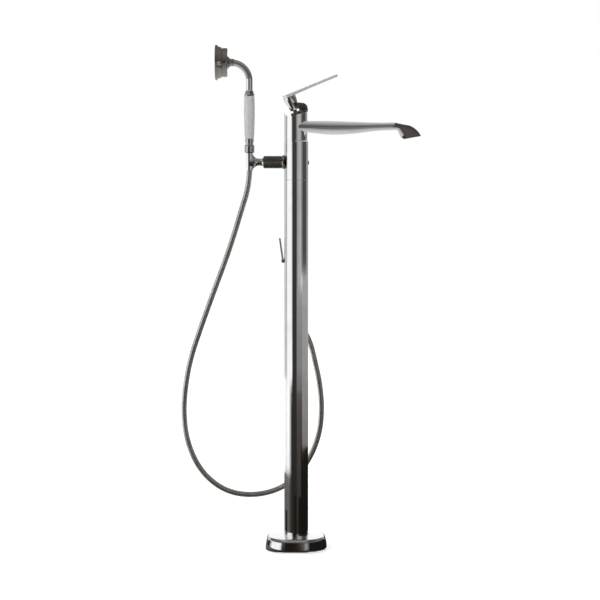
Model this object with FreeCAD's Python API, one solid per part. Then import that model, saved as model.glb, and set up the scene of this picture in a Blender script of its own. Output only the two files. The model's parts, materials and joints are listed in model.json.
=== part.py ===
import FreeCAD, Part
import math
import os

# Floor standing bath filler: a column on a floor flange, a tilted single lever mixer with a broad
# spout on its right, and a handset in a cradle on its left, fed by a hose from a diverter inside.
# Millimetres. The origin is on the floor at the column's axis, +X points along the spout.

V = FreeCAD.Vector
UP = V(0, 0, 1)
RIGHT = V(1, 0, 0)
LEFT = V(-1, 0, 0)
BACK = V(0, 1, 0)

# Room between pieces
slide_fit = 0.1                 # radial room where one piece is pushed into another
running_fit = 0.05              # radial room where one piece turns or slides in another
moving_gap = 0.3                # room between pieces that move apart
seal_squeeze = 0.05             # room left round a sealing ring
stem_room = 0.8                 # room round the lever's stem at its limit
far = 100.0                     # how far a cut reaches, past the whole piece

# Floor flange
flange_radius = 50.0
flange_thickness = 8.0
spigot_height = 60.0
spigot_wall = 2.5
bolt_circle = 78.0
bolt_hole_radius = 4.5
bolt_count = 4
set_screw_radius = 3.0
set_screw_length = 6.0
set_screw_height = 14.0
set_screw_count = 3

# Base cover
cover_half = 62.5               # half of its side at the floor
cover_corner = 47.5             # corner radius at the floor
cover_draft = 0.25              # how far each side leans in per millimetre of height
cover_height = 30.0
cover_crown_radius = 415.0
cover_wall = 4.0
cover_neck_wall = 5.0
cover_neck_drop = 3.0           # how far the neck round the column reaches below the roof
cover_seal_depth = 8.0
cover_foot_round = 3.0
cover_rim_round = 4.0
seal_section = 2.2              # thickness of the sealing rings, which have a square section

# Column
column_radius = 24.0
column_wall = 2.0
seam_height = 740.7
seam_chamfer = 0.5
sleeve_reach = 20.0             # how far the inner sleeve goes up and down from the seam

# Mixer housing
housing_lower_length = 75.0     # from the seam up to the step
housing_step_height = seam_height + housing_lower_length
upper_radius = 23.0
upper_offset = -0.7
housing_bore = 20.0
scoop_x = -13.9
scoop_z = housing_step_height + 58.9
scoop_radius = 9.5
scoop_lip_drop = 0.9            # how far the lip is below the middle of the scoop
cap_seam_slope = 15.0
housing_upper_length = 77.7     # from the step up to the crown of the cap
cap_height = housing_step_height + housing_upper_length
mixer_body_bottom = housing_step_height - 12.0

# Lever and cartridge, measured along the tilted axis from where it crosses the column's axis
lever_tilt = 22.5
lever_origin_height = housing_step_height + 54.3
pivot_depth = 4.0
lever_lift = 20.0
cartridge_radius = 10.4
cartridge_bottom = -19.8
cartridge_split = -5.0
nut_shoulder = 2.0
nut_top = 4.0
nut_top_radius = 9.5
rotor_radius = 8.0
rotor_bottom = -13.0
rotor_top = -1.0
rotor_pin_radius = 1.5
rotor_pin_length = 15.0
stem_radius = 4.0
stem_flat = 5.0
stem_round_start = 2.0
stem_top = 30.0
hub_radius = 12.5
hub_bottom = 8.0
hub_top = 36.0
hub_round = 1.5
eye_thickness = 6.0
bar_length = 100.0              # from the hub's axis to the middle of the rounded tip
bar_root_half_width = 5.0
bar_tip_half_width = 4.5
bar_tip_thickness = 5.0
cap_hub_room = 0.7
cap_proud = 0.3
cap_depth = 35.0
cap_left_edge = 8.5
grub_radius = 2.0

# Pipes inside the column
supply_pipe_radius = 5.0
supply_pipe_x = 4.0
supply_pipe_y = 9.5
supply_pipe_bottom = 4.0
tail_length = 25.0              # plain end of each supply pipe, up to its bead
bead_proud = 0.5
bead_width = 1.5
mixed_pipe_radius = 4.0
mixed_pipe_x = -9.0
mixed_pipe_y = 8.5
pipe_wall = 1.0
pipe_socket = 12.0
gland_height = 12.0
gland_wall = 1.5
spacer_thickness = 6.0
spacer_shares = [0.16, 0.45, 0.9]   # heights of the spacers, as shares of the height of the seam

# Spout
spout_axis_height = housing_step_height + 28.4
shank_radius = 7.0
shank_bore = 5.0
shank_inner_end = 12.0
shank_length = 18.0
spout_seal_bore = 8.0
spout_seal_seat = 11.5
channel_height = spout_axis_height + 0.5
channel_radius = 5.0
channel_narrow_radius = 3.5
channel_narrow_x = 188.0
channel_bend_x = 203.5
aerator_radius = 12.0
aerator_length = 10.0
aerator_wall = 1.8
mouth_recess = 3.0
mouth_lip = 3.0
# Across the spout: top x and rise, belly x and rise, half width, corner. Rises are from its axis.
blade_stations = [
    (9.0, 12.0, 9.0, -10.0, 22.5, 8.0), (28.0, 12.0, 28.0, -11.4, 22.0, 8.5),
    (67.0, 12.0, 67.0, -15.2, 21.0, 9.5), (110.5, 10.5, 110.5, -13.5, 20.0, 9.0),
    (154.0, 9.0, 154.0, -8.2, 19.3, 7.0), (193.5, 9.0, 193.5, -5.8, 19.0, 6.0),
]
hood_stations = [
    (193.5, 9.0, 193.5, -5.8, 19.0, 6.0), (209.5, 5.6, 199.0, -6.8, 19.0, 6.5),
    (226.3, 2.0, 202.5, -13.5, 18.8, 8.0), (239.5, -7.5, 205.5, -19.5, 18.3, 9.5),
    (246.5, -17.5, 210.0, -24.0, 17.8, 12.0),
]

# Arm and cradle
arm_height = seam_height + 34.2
arm_bolt_radius = 4.0
cap_nut_radius = 5.0
cap_nut_proud = 2.0
arm_radius = 12.5
arm_flare_radius = 14.0
arm_flare_end = 26.7            # distances along the arm are from the column's axis
arm_end = 65.2
arm_shoulder = 3.5
rib_pitch = 2.1
rib_depth = 0.7
rib_count = 15
neck_waist_radius = 7.25
neck_waist = 73.5
bell_start_radius = 8.0
bell_radius = 13.0
bell_end = 85.0
handset_x = -92.3
cradle_radius = 8.2
cradle_bottom = arm_height - 16.4
cradle_top = arm_height + 17.9
cradle_slot = 11.8
tail_radius = 6.35

# Handset
collar_bottom = cradle_top + moving_gap
collar_length = 15.8
collar_radius = 9.75
inlet_radius = 4.95
inlet_bore = 3.5
inlet_bottom = collar_bottom - 15.5
washer_thickness = 2.0
lower_groove_bottom = collar_bottom + collar_length
lower_groove_top = lower_groove_bottom + 5.0
lower_groove_radius = 7.4
lower_ferrule_radius = 8.5
grip_bottom = lower_groove_top + 7.0
grip_length = 84.4
grip_top = grip_bottom + grip_length
grip_bottom_radius = 9.0
grip_top_radius = 10.25
grip_swell_radius = 10.7
grip_swell_height = grip_bottom + 0.6 * grip_length
ferrule_height = 10.0
ferrule_radius = 9.25
ferrule_bead_radius = 10.0
neck_radius = 6.5
neck_wall = 1.5
neck_bend_radius = 36.0
neck_bottom = grip_bottom - 5.0
neck_end_reach = 45.0           # distances along the head are from the handset's upright axis
head_height = grip_top + 65.3
boss_start = 29.8
boss_small_radius = 7.5
boss_radius = 10.0
ring_start = 42.5
ring_end = ring_start + 10.2
ring_radius = 28.4
ring_groove = 1.0
shell_end = ring_end + 9.5
shell_back_radius = 29.3
shell_front_radius = 32.3
shell_wall = 2.5
rim_end = shell_end + 4.9
rim_radius = 34.7
plate_radius = 30.3
plate_setback = 1.0
plate_thickness = 3.0
plate_chamfer = 0.5
nozzle_radius = 0.9
nozzle_length = 1.2
nozzle_ring_radii = [9.0, 21.0]
nozzle_ring_counts = [6, 12]

# Diverter and its lever
diverter_height = seam_height - 160.8
block_bottom = diverter_height - 29.0
block_top = diverter_height + 18.0
block_room = 0.3                # between the block and the column's bore
block_face_x = -2.0
pipe_pocket = 6.0
diverter_cartridge_radius = 8.0
diverter_cartridge_start = 7.0
diverter_cartridge_end = 20.0
spindle_radius = 3.0
spindle_inner_end = 9.0
diverter_boss_radius = 5.0
diverter_boss_length = 4.0
blade_root_x = -26.6
blade_tip_x = -32.8
blade_tip_height = diverter_height + 44.8
blade_half_thickness = 2.3
blade_root_half_width = 4.6
blade_tip_half_width = 3.6

# Hose and its outlet at the back of the column
hose_radius = 5.5
outlet_x = -9.0
outlet_height = diverter_height - 14.0
outlet_radius = 6.0
outlet_wall = 1.5
outlet_reach = 41.0
outlet_bend_radius = 12.0
outlet_inner_end = 14.0
outlet_bottom = outlet_height - 24.0
outlet_flange_radius = 9.0
outlet_flange_thickness = 3.0
lower_nut_radius = 9.0
lower_nut_end_radius = 7.0
lower_nut_top = outlet_bottom + 4.0
lower_nut_bottom = outlet_bottom - 24.0
hose_drawn_height = 758.5       # height of the cradle's foot for which the route is drawn
hose_drawn = [
    (handset_x, 0, 758.5), (handset_x, 0, 721), (-105, 4, 682), (-132.5, 8, 602), (-170, 15, 503),
    (-192, 19, 442), (-211.5, 22, 385), (-223, 24, 328), (-227.5, 26, 271), (-221, 28, 212),
    (-197, 30, 156), (-159, 33, 118), (-116.5, 37, 101), (-68.5, 40, 101), (-24, 42, 116),
    (10, 43, 148), (34, 43.5, 187), (50, 43.5, 232), (54, 43, 281), (49.5, 42.5, 329),
    (40, 42, 373), (28, 41.5, 414), (10, 41.2, 446),
]


def unit(vector):
    """The vector's direction, one millimetre long."""
    return V(vector).normalize()


def closed_wire(steps, place):
    """A closed outline. A pair is a corner, and four values are an arc's middle and its end."""
    edges = []
    last = place(*steps[0])
    for step in steps[1:] + steps[:1]:
        end = place(*step[-2:])
        if len(step) == 4:
            edges.append(Part.Arc(last, place(*step[:2]), end).toShape())
        elif end.distanceToPoint(last) > 1e-6:
            edges.append(Part.LineSegment(last, end).toShape())
        last = end
    return Part.Wire(edges)


def crown(radius, low, rise):
    """The arc from the rim of a shallow dome to its top on the axis, as its middle and its end."""
    ball = (radius ** 2 + rise ** 2) / (2 * rise)
    half_angle = math.asin(radius / ball) / 2
    return (ball * math.sin(half_angle), low + rise - ball * (1 - math.cos(half_angle)), 0, low + rise)


def turned(steps, base=V(), direction=UP):
    """A turned piece: radius and distance pairs, spun about a line from base along direction."""
    outline = closed_wire(steps, lambda radius, along: V(radius, 0, along))
    solid = Part.Face(outline).revolve(V(), UP, 360)
    solid.Placement = FreeCAD.Placement(base, FreeCAD.Rotation(UP, direction))
    return solid


def rod(radius, length, base, direction=UP):
    """A plain round bar."""
    return Part.makeCylinder(radius, length, base, direction)


def pipe(outer, inner, length, base, direction=UP):
    """A plain round tube."""
    return rod(outer, length, base, direction).cut(rod(inner, length, base, direction))


def box_between(low, high):
    """A block from its lowest to its highest corner."""
    return Part.makeBox(high.x - low.x, high.y - low.y, high.z - low.z, low)


def rounded_outline(half_a, half_b, corner, place):
    """A rectangle with rounded corners, about the middle of the plane that place gives."""
    a = half_a - corner
    b = half_b - corner
    bow = corner * math.sqrt(0.5)
    steps = [
        (a, -half_b), (a + bow, -b - bow, half_a, -b), (half_a, b), (a + bow, b + bow, a, half_b),
        (-a, half_b), (-a - bow, b + bow, -half_a, b), (-half_a, -b), (-a - bow, -b - bow, -a, -half_b),
    ]
    return closed_wire(steps, place)


def smooth_path(points, radius=None):
    """Straight runs joined by tangent arcs, as large as their runs allow if no radius is given."""
    edges = []
    radii = []
    start = points[0]
    for before, corner, after in zip(points, points[1:], points[2:]):
        arrive = corner - before
        leave = after - corner
        half_turn = arrive.getAngle(leave) / 2
        bend = radius or 0.45 * min(arrive.Length, leave.Length) / math.tan(half_turn)
        setback = bend * math.tan(half_turn)
        inward = unit(unit(leave) - unit(arrive))
        first = corner - unit(arrive) * setback
        middle = corner + inward * (bend / math.cos(half_turn) - bend)
        last = corner + unit(leave) * setback
        edges.append(Part.LineSegment(start, first).toShape())
        edges.append(Part.Arc(first, middle, last).toShape())
        radii.append(bend)
        start = last
    edges.append(Part.LineSegment(start, points[-1]).toShape())
    return Part.Wire(edges), radii


def swept(radius, path):
    """A round bar along a path."""
    start = path.Edges[0]
    ring = Part.Wire(Part.makeCircle(radius, start.Vertexes[0].Point, start.tangentAt(start.FirstParameter)))
    return path.makePipeShell([ring], True, False)


def seal_ring(inner, base, direction=UP):
    """A sealing ring of square section."""
    return pipe(inner + seal_section, inner, seal_section, base, direction)


def in_lever_frame(shape):
    """Tilts a piece drawn up the Z axis onto the lever's leaning axis."""
    turn = FreeCAD.Rotation(BACK, -lever_tilt)
    shape.Placement = FreeCAD.Placement(V(0, 0, lever_origin_height), turn).multiply(shape.Placement)
    return shape


def around(count, radius, first_angle=0.0):
    """Points evenly spaced on a circle about the Z axis."""
    angles = [math.radians(first_angle + 360.0 * i / count) for i in range(count)]
    return [V(radius * math.cos(angle), radius * math.sin(angle), 0) for angle in angles]


column_bore = column_radius - column_wall
spigot_radius = column_bore - slide_fit
spigot_bore = spigot_radius - spigot_wall
supply_places = {"hot": V(supply_pipe_x, -supply_pipe_y, 0), "cold": V(supply_pipe_x, supply_pipe_y, 0)}
mixed_places = {"mixed": V(mixed_pipe_x, -mixed_pipe_y, 0), "spout": V(mixed_pipe_x, mixed_pipe_y, 0)}


# Floor fixing

def set_screws(radius, inner, length):
    """Radial screws, or their holes, through the foot of the column."""
    places = around(set_screw_count, 1.0, 90.0)
    return [rod(radius, length, place * inner + UP * set_screw_height, place) for place in places]


def floor_flange():
    top = flange_thickness + spigot_height
    steps = [
        (spigot_bore, 0), (flange_radius, 0), (flange_radius, flange_thickness - 1),
        (flange_radius - 1, flange_thickness), (spigot_radius, flange_thickness),
        (spigot_radius, top - 1.5), (spigot_radius - 1, top), (spigot_bore, top),
    ]
    plate = turned(steps)
    bolts = [rod(bolt_hole_radius, flange_thickness, place)
             for place in around(bolt_count, bolt_circle / 2, 45.0)]
    return plate.cut(bolts + set_screws(set_screw_radius + running_fit, spigot_bore - 1, spigot_wall + 2))


def cover_form(inset, height):
    """The cover's leaning sides, set in by a wall, from the floor up to a height."""
    def outline(level):
        lean = cover_draft * level
        half = cover_half - inset - lean
        return rounded_outline(half, half, cover_corner - inset - lean, lambda x, y: V(x, y, level))
    return Part.makeLoft([outline(0), outline(height)], True, True)


def base_cover():
    dome = Part.makeSphere(cover_crown_radius, V(0, 0, cover_height - cover_crown_radius), RIGHT)
    outer = cover_form(0, cover_height).common(dome)
    foot = [edge for edge in outer.Edges if edge.BoundBox.ZMax < 0.01]
    outer = outer.makeFillet(cover_foot_round, foot)
    rim = [edge for edge in outer.Edges if edge.BoundBox.ZMin > cover_height / 2]
    outer = outer.makeFillet(cover_rim_round, rim)
    roof = cover_height - cover_wall - cover_rim_round
    neck_radius_outer = column_radius + cover_neck_wall
    hollow = cover_form(cover_wall, roof).cut(rod(neck_radius_outer, roof, V(0, 0, roof - cover_neck_drop)))
    hole_radius = column_radius + moving_gap
    groove_radius = column_radius + seal_section + 2 * seal_squeeze
    groove_bottom = cover_height - cover_seal_depth - seal_squeeze
    groove = rod(groove_radius, seal_section + 2 * seal_squeeze, V(0, 0, groove_bottom))
    hole = rod(hole_radius, 2 * cover_height, V(0, 0, -cover_wall))
    return outer.cut(hole).cut(hollow).cut(groove)


def base_cover_seal():
    return seal_ring(column_radius + seal_squeeze, V(0, 0, cover_height - cover_seal_depth))


def column_set_screws():
    socket = 1.5
    outer = column_radius + 0.5
    screws = set_screws(set_screw_radius, outer - set_screw_length, set_screw_length)
    sockets = set_screws(socket, outer - 3, 3)
    return Part.makeCompound([screw.cut(hole) for screw, hole in zip(screws, sockets)])


# Column and mixer

def column_tube():
    bottom = flange_thickness
    steps = [
        (column_bore, bottom), (column_radius, bottom), (column_radius, seam_height - seam_chamfer),
        (column_radius - seam_chamfer, seam_height), (column_bore, seam_height),
    ]
    spindle_hole = rod(spindle_radius + moving_gap, column_radius, V(0, 0, diverter_height), LEFT)
    outlet_hole = rod(outlet_radius + slide_fit, outlet_reach, V(outlet_x, 0, outlet_height), BACK)
    screws = set_screws(set_screw_radius + running_fit, column_bore - 1, column_wall + 2)
    return turned(steps).cut([spindle_hole, outlet_hole] + screws)


def joint_sleeve():
    radius = column_bore - slide_fit
    sleeve = pipe(radius, spigot_bore, 2 * sleeve_reach, V(0, 0, seam_height - sleeve_reach))
    return sleeve.cut([seal_groove(height) for height in joint_seal_heights()])


def joint_seal_heights():
    """The lower faces of the two sealing rings round the sleeve."""
    middle = seam_height - seal_section / 2
    return [middle - sleeve_reach / 2, middle + sleeve_reach / 2]


def seal_groove(height):
    """A square groove round the sleeve for one sealing ring."""
    depth = seal_section + seal_squeeze
    width = seal_section + 2 * seal_squeeze
    return pipe(column_bore, column_bore - depth, width, V(0, 0, height - seal_squeeze))


def joint_seal_rings():
    inner = column_bore - seal_section
    return Part.makeCompound([seal_ring(inner, V(0, 0, height)) for height in joint_seal_heights()])


def above_housing():
    """The space above the housing: a scoop along Y at the left that runs into the cap's slope."""
    slope = math.radians(cap_seam_slope)
    lip_z = scoop_z - scoop_lip_drop
    lip_x = scoop_x - math.sqrt(scoop_radius ** 2 - scoop_lip_drop ** 2)
    foot_x = scoop_x + scoop_radius * math.sin(slope)
    foot_z = scoop_z - scoop_radius * math.cos(slope)
    far_x = column_radius + 10
    far_z = foot_z + (far_x - foot_x) * math.tan(slope)
    low_x = scoop_x - scoop_radius * math.sin(math.radians(35))
    low_z = scoop_z - scoop_radius * math.cos(math.radians(35))
    steps = [
        (-far_x, lip_z), (lip_x, lip_z), (low_x, low_z, foot_x, foot_z),
        (far_x, far_z), (far_x, cap_height + 60), (-far_x, cap_height + 60),
    ]
    face = Part.Face(closed_wire(steps, lambda x, z: V(x, -far_x, z)))
    return face.extrude(V(0, 2 * far_x, 0))


def mixer_housing():
    top = cap_height
    axis = V(upper_offset, 0, housing_step_height)
    lower_steps = [
        (0, seam_height), (column_radius - seam_chamfer, seam_height),
        (column_radius, seam_height + seam_chamfer), (column_radius, housing_step_height),
        (0, housing_step_height),
    ]
    shell = turned(lower_steps).fuse(rod(upper_radius, top - housing_step_height, axis))
    sleeve_space = rod(column_bore, sleeve_reach + 1, V(0, 0, seam_height))
    bore = rod(housing_bore, top - seam_height, V(0, 0, seam_height))
    bolt_hole = rod(arm_bolt_radius + slide_fit, column_radius, V(0, 0, arm_height), LEFT)
    cap_hole = rod(cap_nut_radius + slide_fit, column_radius, V(0, 0, arm_height), RIGHT)
    shank_hole = rod(shank_radius + slide_fit, column_radius, V(0, 0, spout_axis_height), RIGHT)
    return shell.cut([sleeve_space, bore, above_housing(), bolt_hole, cap_hole, shank_hole])


def tilted_rod(radius, low, high):
    return in_lever_frame(rod(radius, high - low, V(0, 0, low)))


def mixer_body():
    radius = housing_bore - slide_fit
    body = rod(radius, cap_height - mixer_body_bottom, V(0, 0, mixer_body_bottom))
    pocket = tilted_rod(cartridge_radius + slide_fit, cartridge_bottom, cap_height)
    above = in_lever_frame(box_between(V(-far, -far, rotor_top - 1), V(far, far, far)))
    shank = rod(shank_radius + slide_fit, column_radius, V(shank_inner_end, 0, spout_axis_height), RIGHT)
    sockets = [rod(supply_pipe_radius + slide_fit, pipe_socket, place + UP * mixer_body_bottom)
               for place in supply_places.values()]
    sockets += [rod(mixed_pipe_radius + slide_fit, pipe_socket, place + UP * mixer_body_bottom)
                for place in mixed_places.values()]
    return body.cut([pocket, above, above_housing(), shank] + sockets)


def mixer_cap():
    """The dome behind the hub, a little proud of the housing, with rounded shoulders."""
    flank = upper_radius + cap_proud
    side = [
        (0, cap_height - cap_depth), (flank, cap_height - cap_depth), (flank, cap_height - 23.0),
        (flank + 0.9, cap_height - 14.0, flank - 0.9, cap_height - 7.5),
        (flank - 4.5, cap_height - 3.4, flank - 10.7, cap_height - 1.4), (0, cap_height),
    ]
    dome = turned(side, V(upper_offset, 0, 0))
    hub_space = tilted_rod(hub_radius + cap_hub_room, -far, far)
    open_side = in_lever_frame(box_between(V(-far, -far, -far), V(cap_left_edge, far, far)))
    return dome.common(above_housing()).cut([hub_space, open_side])


def cartridge_body():
    steps = [
        (0, cartridge_bottom), (cartridge_radius, cartridge_bottom), (cartridge_radius, cartridge_split),
        (rotor_radius + running_fit, cartridge_split), (rotor_radius + running_fit, rotor_bottom),
        (0, rotor_bottom),
    ]
    return in_lever_frame(turned(steps))


def cartridge_nut():
    """The domed ring nut that holds the cartridge down and lets the stem swing."""
    lip = rotor_top + moving_gap
    bore = rotor_radius + moving_gap
    swing = math.tan(math.radians(lever_lift))
    room = stem_radius / math.cos(math.radians(lever_lift)) + stem_room
    lip_radius = (lip + pivot_depth) * swing + room
    top_radius = (nut_top + pivot_depth) * swing + room
    steps = [
        (bore, cartridge_split), (cartridge_radius, cartridge_split), (cartridge_radius, nut_shoulder),
        (nut_top_radius, nut_top), (top_radius, nut_top), (lip_radius, lip), (bore, lip),
    ]
    return in_lever_frame(turned(steps))


def cartridge_rotor():
    """Turns in the cartridge for temperature. Its slot lets the stem rock for flow."""
    body = rod(rotor_radius, rotor_top - rotor_bottom - moving_gap, V(0, 0, rotor_bottom + moving_gap))
    half = stem_flat / 2 + running_fit * 3
    foot = -pivot_depth - stem_radius - moving_gap
    slot = box_between(V(-rotor_radius, -half, foot), V(stem_radius + moving_gap, half, rotor_top))
    pin = rod(rotor_pin_radius, 2 * rotor_radius, V(0, -rotor_radius, -pivot_depth), BACK)
    return in_lever_frame(body.cut([slot, pin]))


def rotor_pin():
    start = V(0, -rotor_pin_length / 2, -pivot_depth)
    return in_lever_frame(rod(rotor_pin_radius, rotor_pin_length, start, BACK))


def lever_stem():
    half = stem_flat / 2
    foot = rod(stem_radius, stem_flat, V(0, -half, -pivot_depth), BACK)
    flat = box_between(V(-stem_radius, -half, -pivot_depth), V(stem_radius, half, stem_round_start))
    shaft = rod(stem_radius, stem_top - stem_round_start, V(0, 0, stem_round_start))
    pin_hole = rod(rotor_pin_radius + running_fit, stem_flat, V(0, -half, -pivot_depth), BACK)
    grub_seat = rod(grub_radius, stem_radius, V(0, stem_radius - 0.8, (hub_bottom + hub_top) / 2), BACK)
    return in_lever_frame(foot.fuse([flat, shaft]).removeSplitter().cut([pin_hole, grub_seat]))


def lever_hub():
    r = hub_round
    bow = r * (1 - math.sqrt(0.5))
    steps = [
        (stem_radius + running_fit, hub_bottom), (hub_radius - r, hub_bottom),
        (hub_radius - bow, hub_bottom + bow, hub_radius, hub_bottom + r), (hub_radius, hub_top),
        (0, hub_top), (0, stem_top), (stem_radius + running_fit, stem_top),
    ]
    grub_hole = rod(grub_radius + running_fit, hub_radius, V(0, 0, (hub_bottom + hub_top) / 2), BACK)
    return in_lever_frame(turned(steps).cut(grub_hole))


def lever_grub_screw():
    start = stem_radius - 0.8
    middle = (hub_bottom + hub_top) / 2
    screw = rod(grub_radius, hub_radius - start - 1, V(0, start, middle), BACK)
    socket = rod(grub_radius / 2, 3, V(0, hub_radius - 4, middle), BACK)
    return in_lever_frame(screw.cut(socket))


def lever_bar():
    """A round eye on top of the hub with a slim bar that ends in a rounded tip."""
    top = hub_top + eye_thickness
    middle = hub_top + eye_thickness / 2
    r = 2.0
    bow = r * (1 - math.sqrt(0.5))
    eye = turned([
        (0, hub_top), (hub_radius, hub_top), (hub_radius, top - r),
        (hub_radius - bow, top - bow, hub_radius - r, top), (0, top),
    ])

    def section(x, half_width, half_thickness):
        place = lambda y, z: V(x, y, middle + z)
        return rounded_outline(half_width, half_thickness, half_thickness * 0.8, place)
    root = section(hub_radius / 2, bar_root_half_width, eye_thickness / 2 - 0.05)
    tip = section(bar_length, bar_tip_half_width, bar_tip_thickness / 2)
    bar = Part.makeLoft([root, tip], True, True)
    half = bar_tip_thickness / 2
    soft = half * 0.8
    inner = bar_tip_half_width - soft
    bow = soft * math.sqrt(0.5)
    end = turned([
        (0, -half), (inner, -half), (inner + bow, -half + soft - bow, bar_tip_half_width, -half + soft),
        (bar_tip_half_width, half - soft), (inner + bow, half - soft + bow, inner, half), (0, half),
    ], V(bar_length, 0, middle))
    return in_lever_frame(eye.fuse([bar, end]))


# Pipes inside the column

def riser(place, radius, bottom, top):
    return pipe(radius, radius - pipe_wall, top - bottom, place + UP * bottom)


def supply_riser(place):
    """A supply pipe, with a bead near its lower end where a fitting stops."""
    pipe_length = riser(place, supply_pipe_radius, supply_pipe_bottom, mixer_body_bottom + pipe_socket)
    outer = supply_pipe_radius + bead_proud
    tail_top = place + UP * (supply_pipe_bottom + tail_length)
    bead = pipe(outer, supply_pipe_radius - pipe_wall, bead_width, tail_top)
    return pipe_length.fuse(bead)


def hot_riser():
    return supply_riser(supply_places["hot"])


def cold_riser():
    return supply_riser(supply_places["cold"])


def mixed_water_pipe():
    bottom = block_top - pipe_pocket
    return riser(mixed_places["mixed"], mixed_pipe_radius, bottom, mixer_body_bottom + pipe_socket)


def spout_riser_pipe():
    bottom = block_top - pipe_pocket
    return riser(mixed_places["spout"], mixed_pipe_radius, bottom, mixer_body_bottom + pipe_socket)


def pipe_holes(bottom, height, with_mixed):
    """Holes for the pipes that pass a spacer."""
    holes = [rod(supply_pipe_radius + slide_fit, height, place + UP * bottom)
             for place in supply_places.values()]
    if with_mixed:
        holes += [rod(mixed_pipe_radius + slide_fit, height, place + UP * bottom)
                  for place in mixed_places.values()]
    return holes


def pipe_spacers():
    spacers = []
    for height in [share * seam_height for share in spacer_shares]:
        disc = rod(column_bore - slide_fit, spacer_thickness, V(0, 0, height))
        spacers.append(disc.cut(pipe_holes(height, spacer_thickness, height > block_top)))
    return Part.makeCompound(spacers)


def pipe_nuts():
    bottom = mixer_body_bottom - gland_height
    nuts = []
    for places, radius in ((supply_places, supply_pipe_radius), (mixed_places, mixed_pipe_radius)):
        for place in places.values():
            nuts.append(pipe(radius + gland_wall, radius + slide_fit, gland_height, place + UP * bottom))
    return Part.makeCompound(nuts)


# Spout

def spout_section(top_x, top_rise, belly_x, belly_rise, half_width, corner):
    """A rounded section across the spout, between a point of its top line and one of its belly."""
    top = V(top_x, 0, spout_axis_height + top_rise)
    bottom = V(belly_x, 0, spout_axis_height + belly_rise)
    middle = (top + bottom) * 0.5
    rise = unit(top - bottom)
    half_height = (top - bottom).Length / 2
    place = lambda across, up: middle + BACK * across + rise * up
    return rounded_outline(half_width, half_height, corner, place)


mouth_tip = V(hood_stations[-1][0], 0, spout_axis_height + hood_stations[-1][1])
mouth_back = V(hood_stations[-1][2], 0, spout_axis_height + hood_stations[-1][3])
mouth_middle = (mouth_tip + mouth_back) * 0.5
mouth_along = unit(mouth_tip - mouth_back)
mouth_inward = V(-mouth_along.z, 0, mouth_along.x)


def spout_body():
    """A broad blade with a light belly that turns down into a hooded mouth."""
    blade = Part.makeLoft([spout_section(*station) for station in blade_stations], True, False)
    hood = Part.makeLoft([spout_section(*station) for station in hood_stations], True, False)
    housing = rod(upper_radius + running_fit, housing_upper_length, V(upper_offset, 0, housing_step_height))
    shank = rod(shank_radius + slide_fit, shank_length, V(shank_inner_end, 0, spout_axis_height), RIGHT)
    seal_depth = upper_offset + upper_radius + seal_section + 2 * seal_squeeze
    seal_seat = rod(spout_seal_seat, seal_depth, V(0, 0, spout_axis_height), RIGHT)
    wide = rod(channel_radius, channel_narrow_x, V(0, 0, channel_height), RIGHT)
    narrow = rod(channel_narrow_radius, channel_bend_x, V(0, 0, channel_height), RIGHT)
    bend = V(channel_bend_x - 2, 0, channel_height)
    mouth_top = mouth_middle + mouth_inward * aerator_length
    drop = rod(channel_narrow_radius, (mouth_top - bend).Length, bend, unit(mouth_top - bend))
    half_length = (mouth_tip - mouth_back).Length / 2 - mouth_lip
    half_width = hood_stations[-1][4] - mouth_lip
    place = lambda across, along: mouth_middle + BACK * across + mouth_along * along
    rim = rounded_outline(half_width, half_length, hood_stations[-1][5] - mouth_lip, place)
    recess = Part.Face(rim).extrude(mouth_inward * mouth_recess)
    socket = rod(aerator_radius + slide_fit, aerator_length + mouth_recess, mouth_middle, mouth_inward)
    body = blade.fuse(hood)
    return body.cut([housing, shank, seal_seat, wide, narrow, drop, recess, socket])


def spout_shank():
    return pipe(shank_radius, shank_bore, shank_length, V(shank_inner_end, 0, spout_axis_height), RIGHT)


def spout_seal():
    start = upper_offset + upper_radius + seal_squeeze
    return seal_ring(spout_seal_bore, V(start, 0, spout_axis_height), RIGHT)


def aerator_housing():
    inner = aerator_radius - aerator_wall
    end = aerator_length + mouth_recess - washer_thickness
    steps = [
        (inner, 1.5), (aerator_radius - 0.5, 1.5), (aerator_radius, 2.0),
        (aerator_radius, end), (inner, end),
    ]
    return turned(steps, mouth_middle, mouth_inward)


def aerator_insert():
    radius = aerator_radius - aerator_wall - slide_fit
    disc = rod(radius, 4.0, mouth_middle + mouth_inward * 3.0, mouth_inward)
    turn = FreeCAD.Rotation(UP, mouth_inward)
    jets = [rod(0.9, 4.0, mouth_middle + mouth_inward * 3.0 + turn.multVec(place), mouth_inward)
            for ring, count in ((3.0, 6), (6.8, 12)) for place in around(count, ring)]
    return disc.cut(jets)


def aerator_seal():
    base = mouth_middle + mouth_inward * (aerator_length + mouth_recess - washer_thickness)
    return pipe(aerator_radius, aerator_radius - 3, washer_thickness, base, mouth_inward)


# Arm, cradle and their bolt

def arm_point(distance):
    return V(-distance, 0, arm_height)


def arm_bolt():
    start = V(column_radius, 0, arm_height)
    return rod(arm_bolt_radius, column_radius + arm_end - 3, start, LEFT)


def arm_cap_nut():
    depth = 4.0
    proud = depth + cap_nut_proud
    steps = [
        (arm_bolt_radius + slide_fit, 0), (cap_nut_radius, 0), (cap_nut_radius, proud - 1),
        crown(cap_nut_radius, proud - 1, 1.0), (0, depth), (arm_bolt_radius + slide_fit, depth),
    ]
    return turned(steps, V(column_radius - depth, 0, arm_height), RIGHT)


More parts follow.
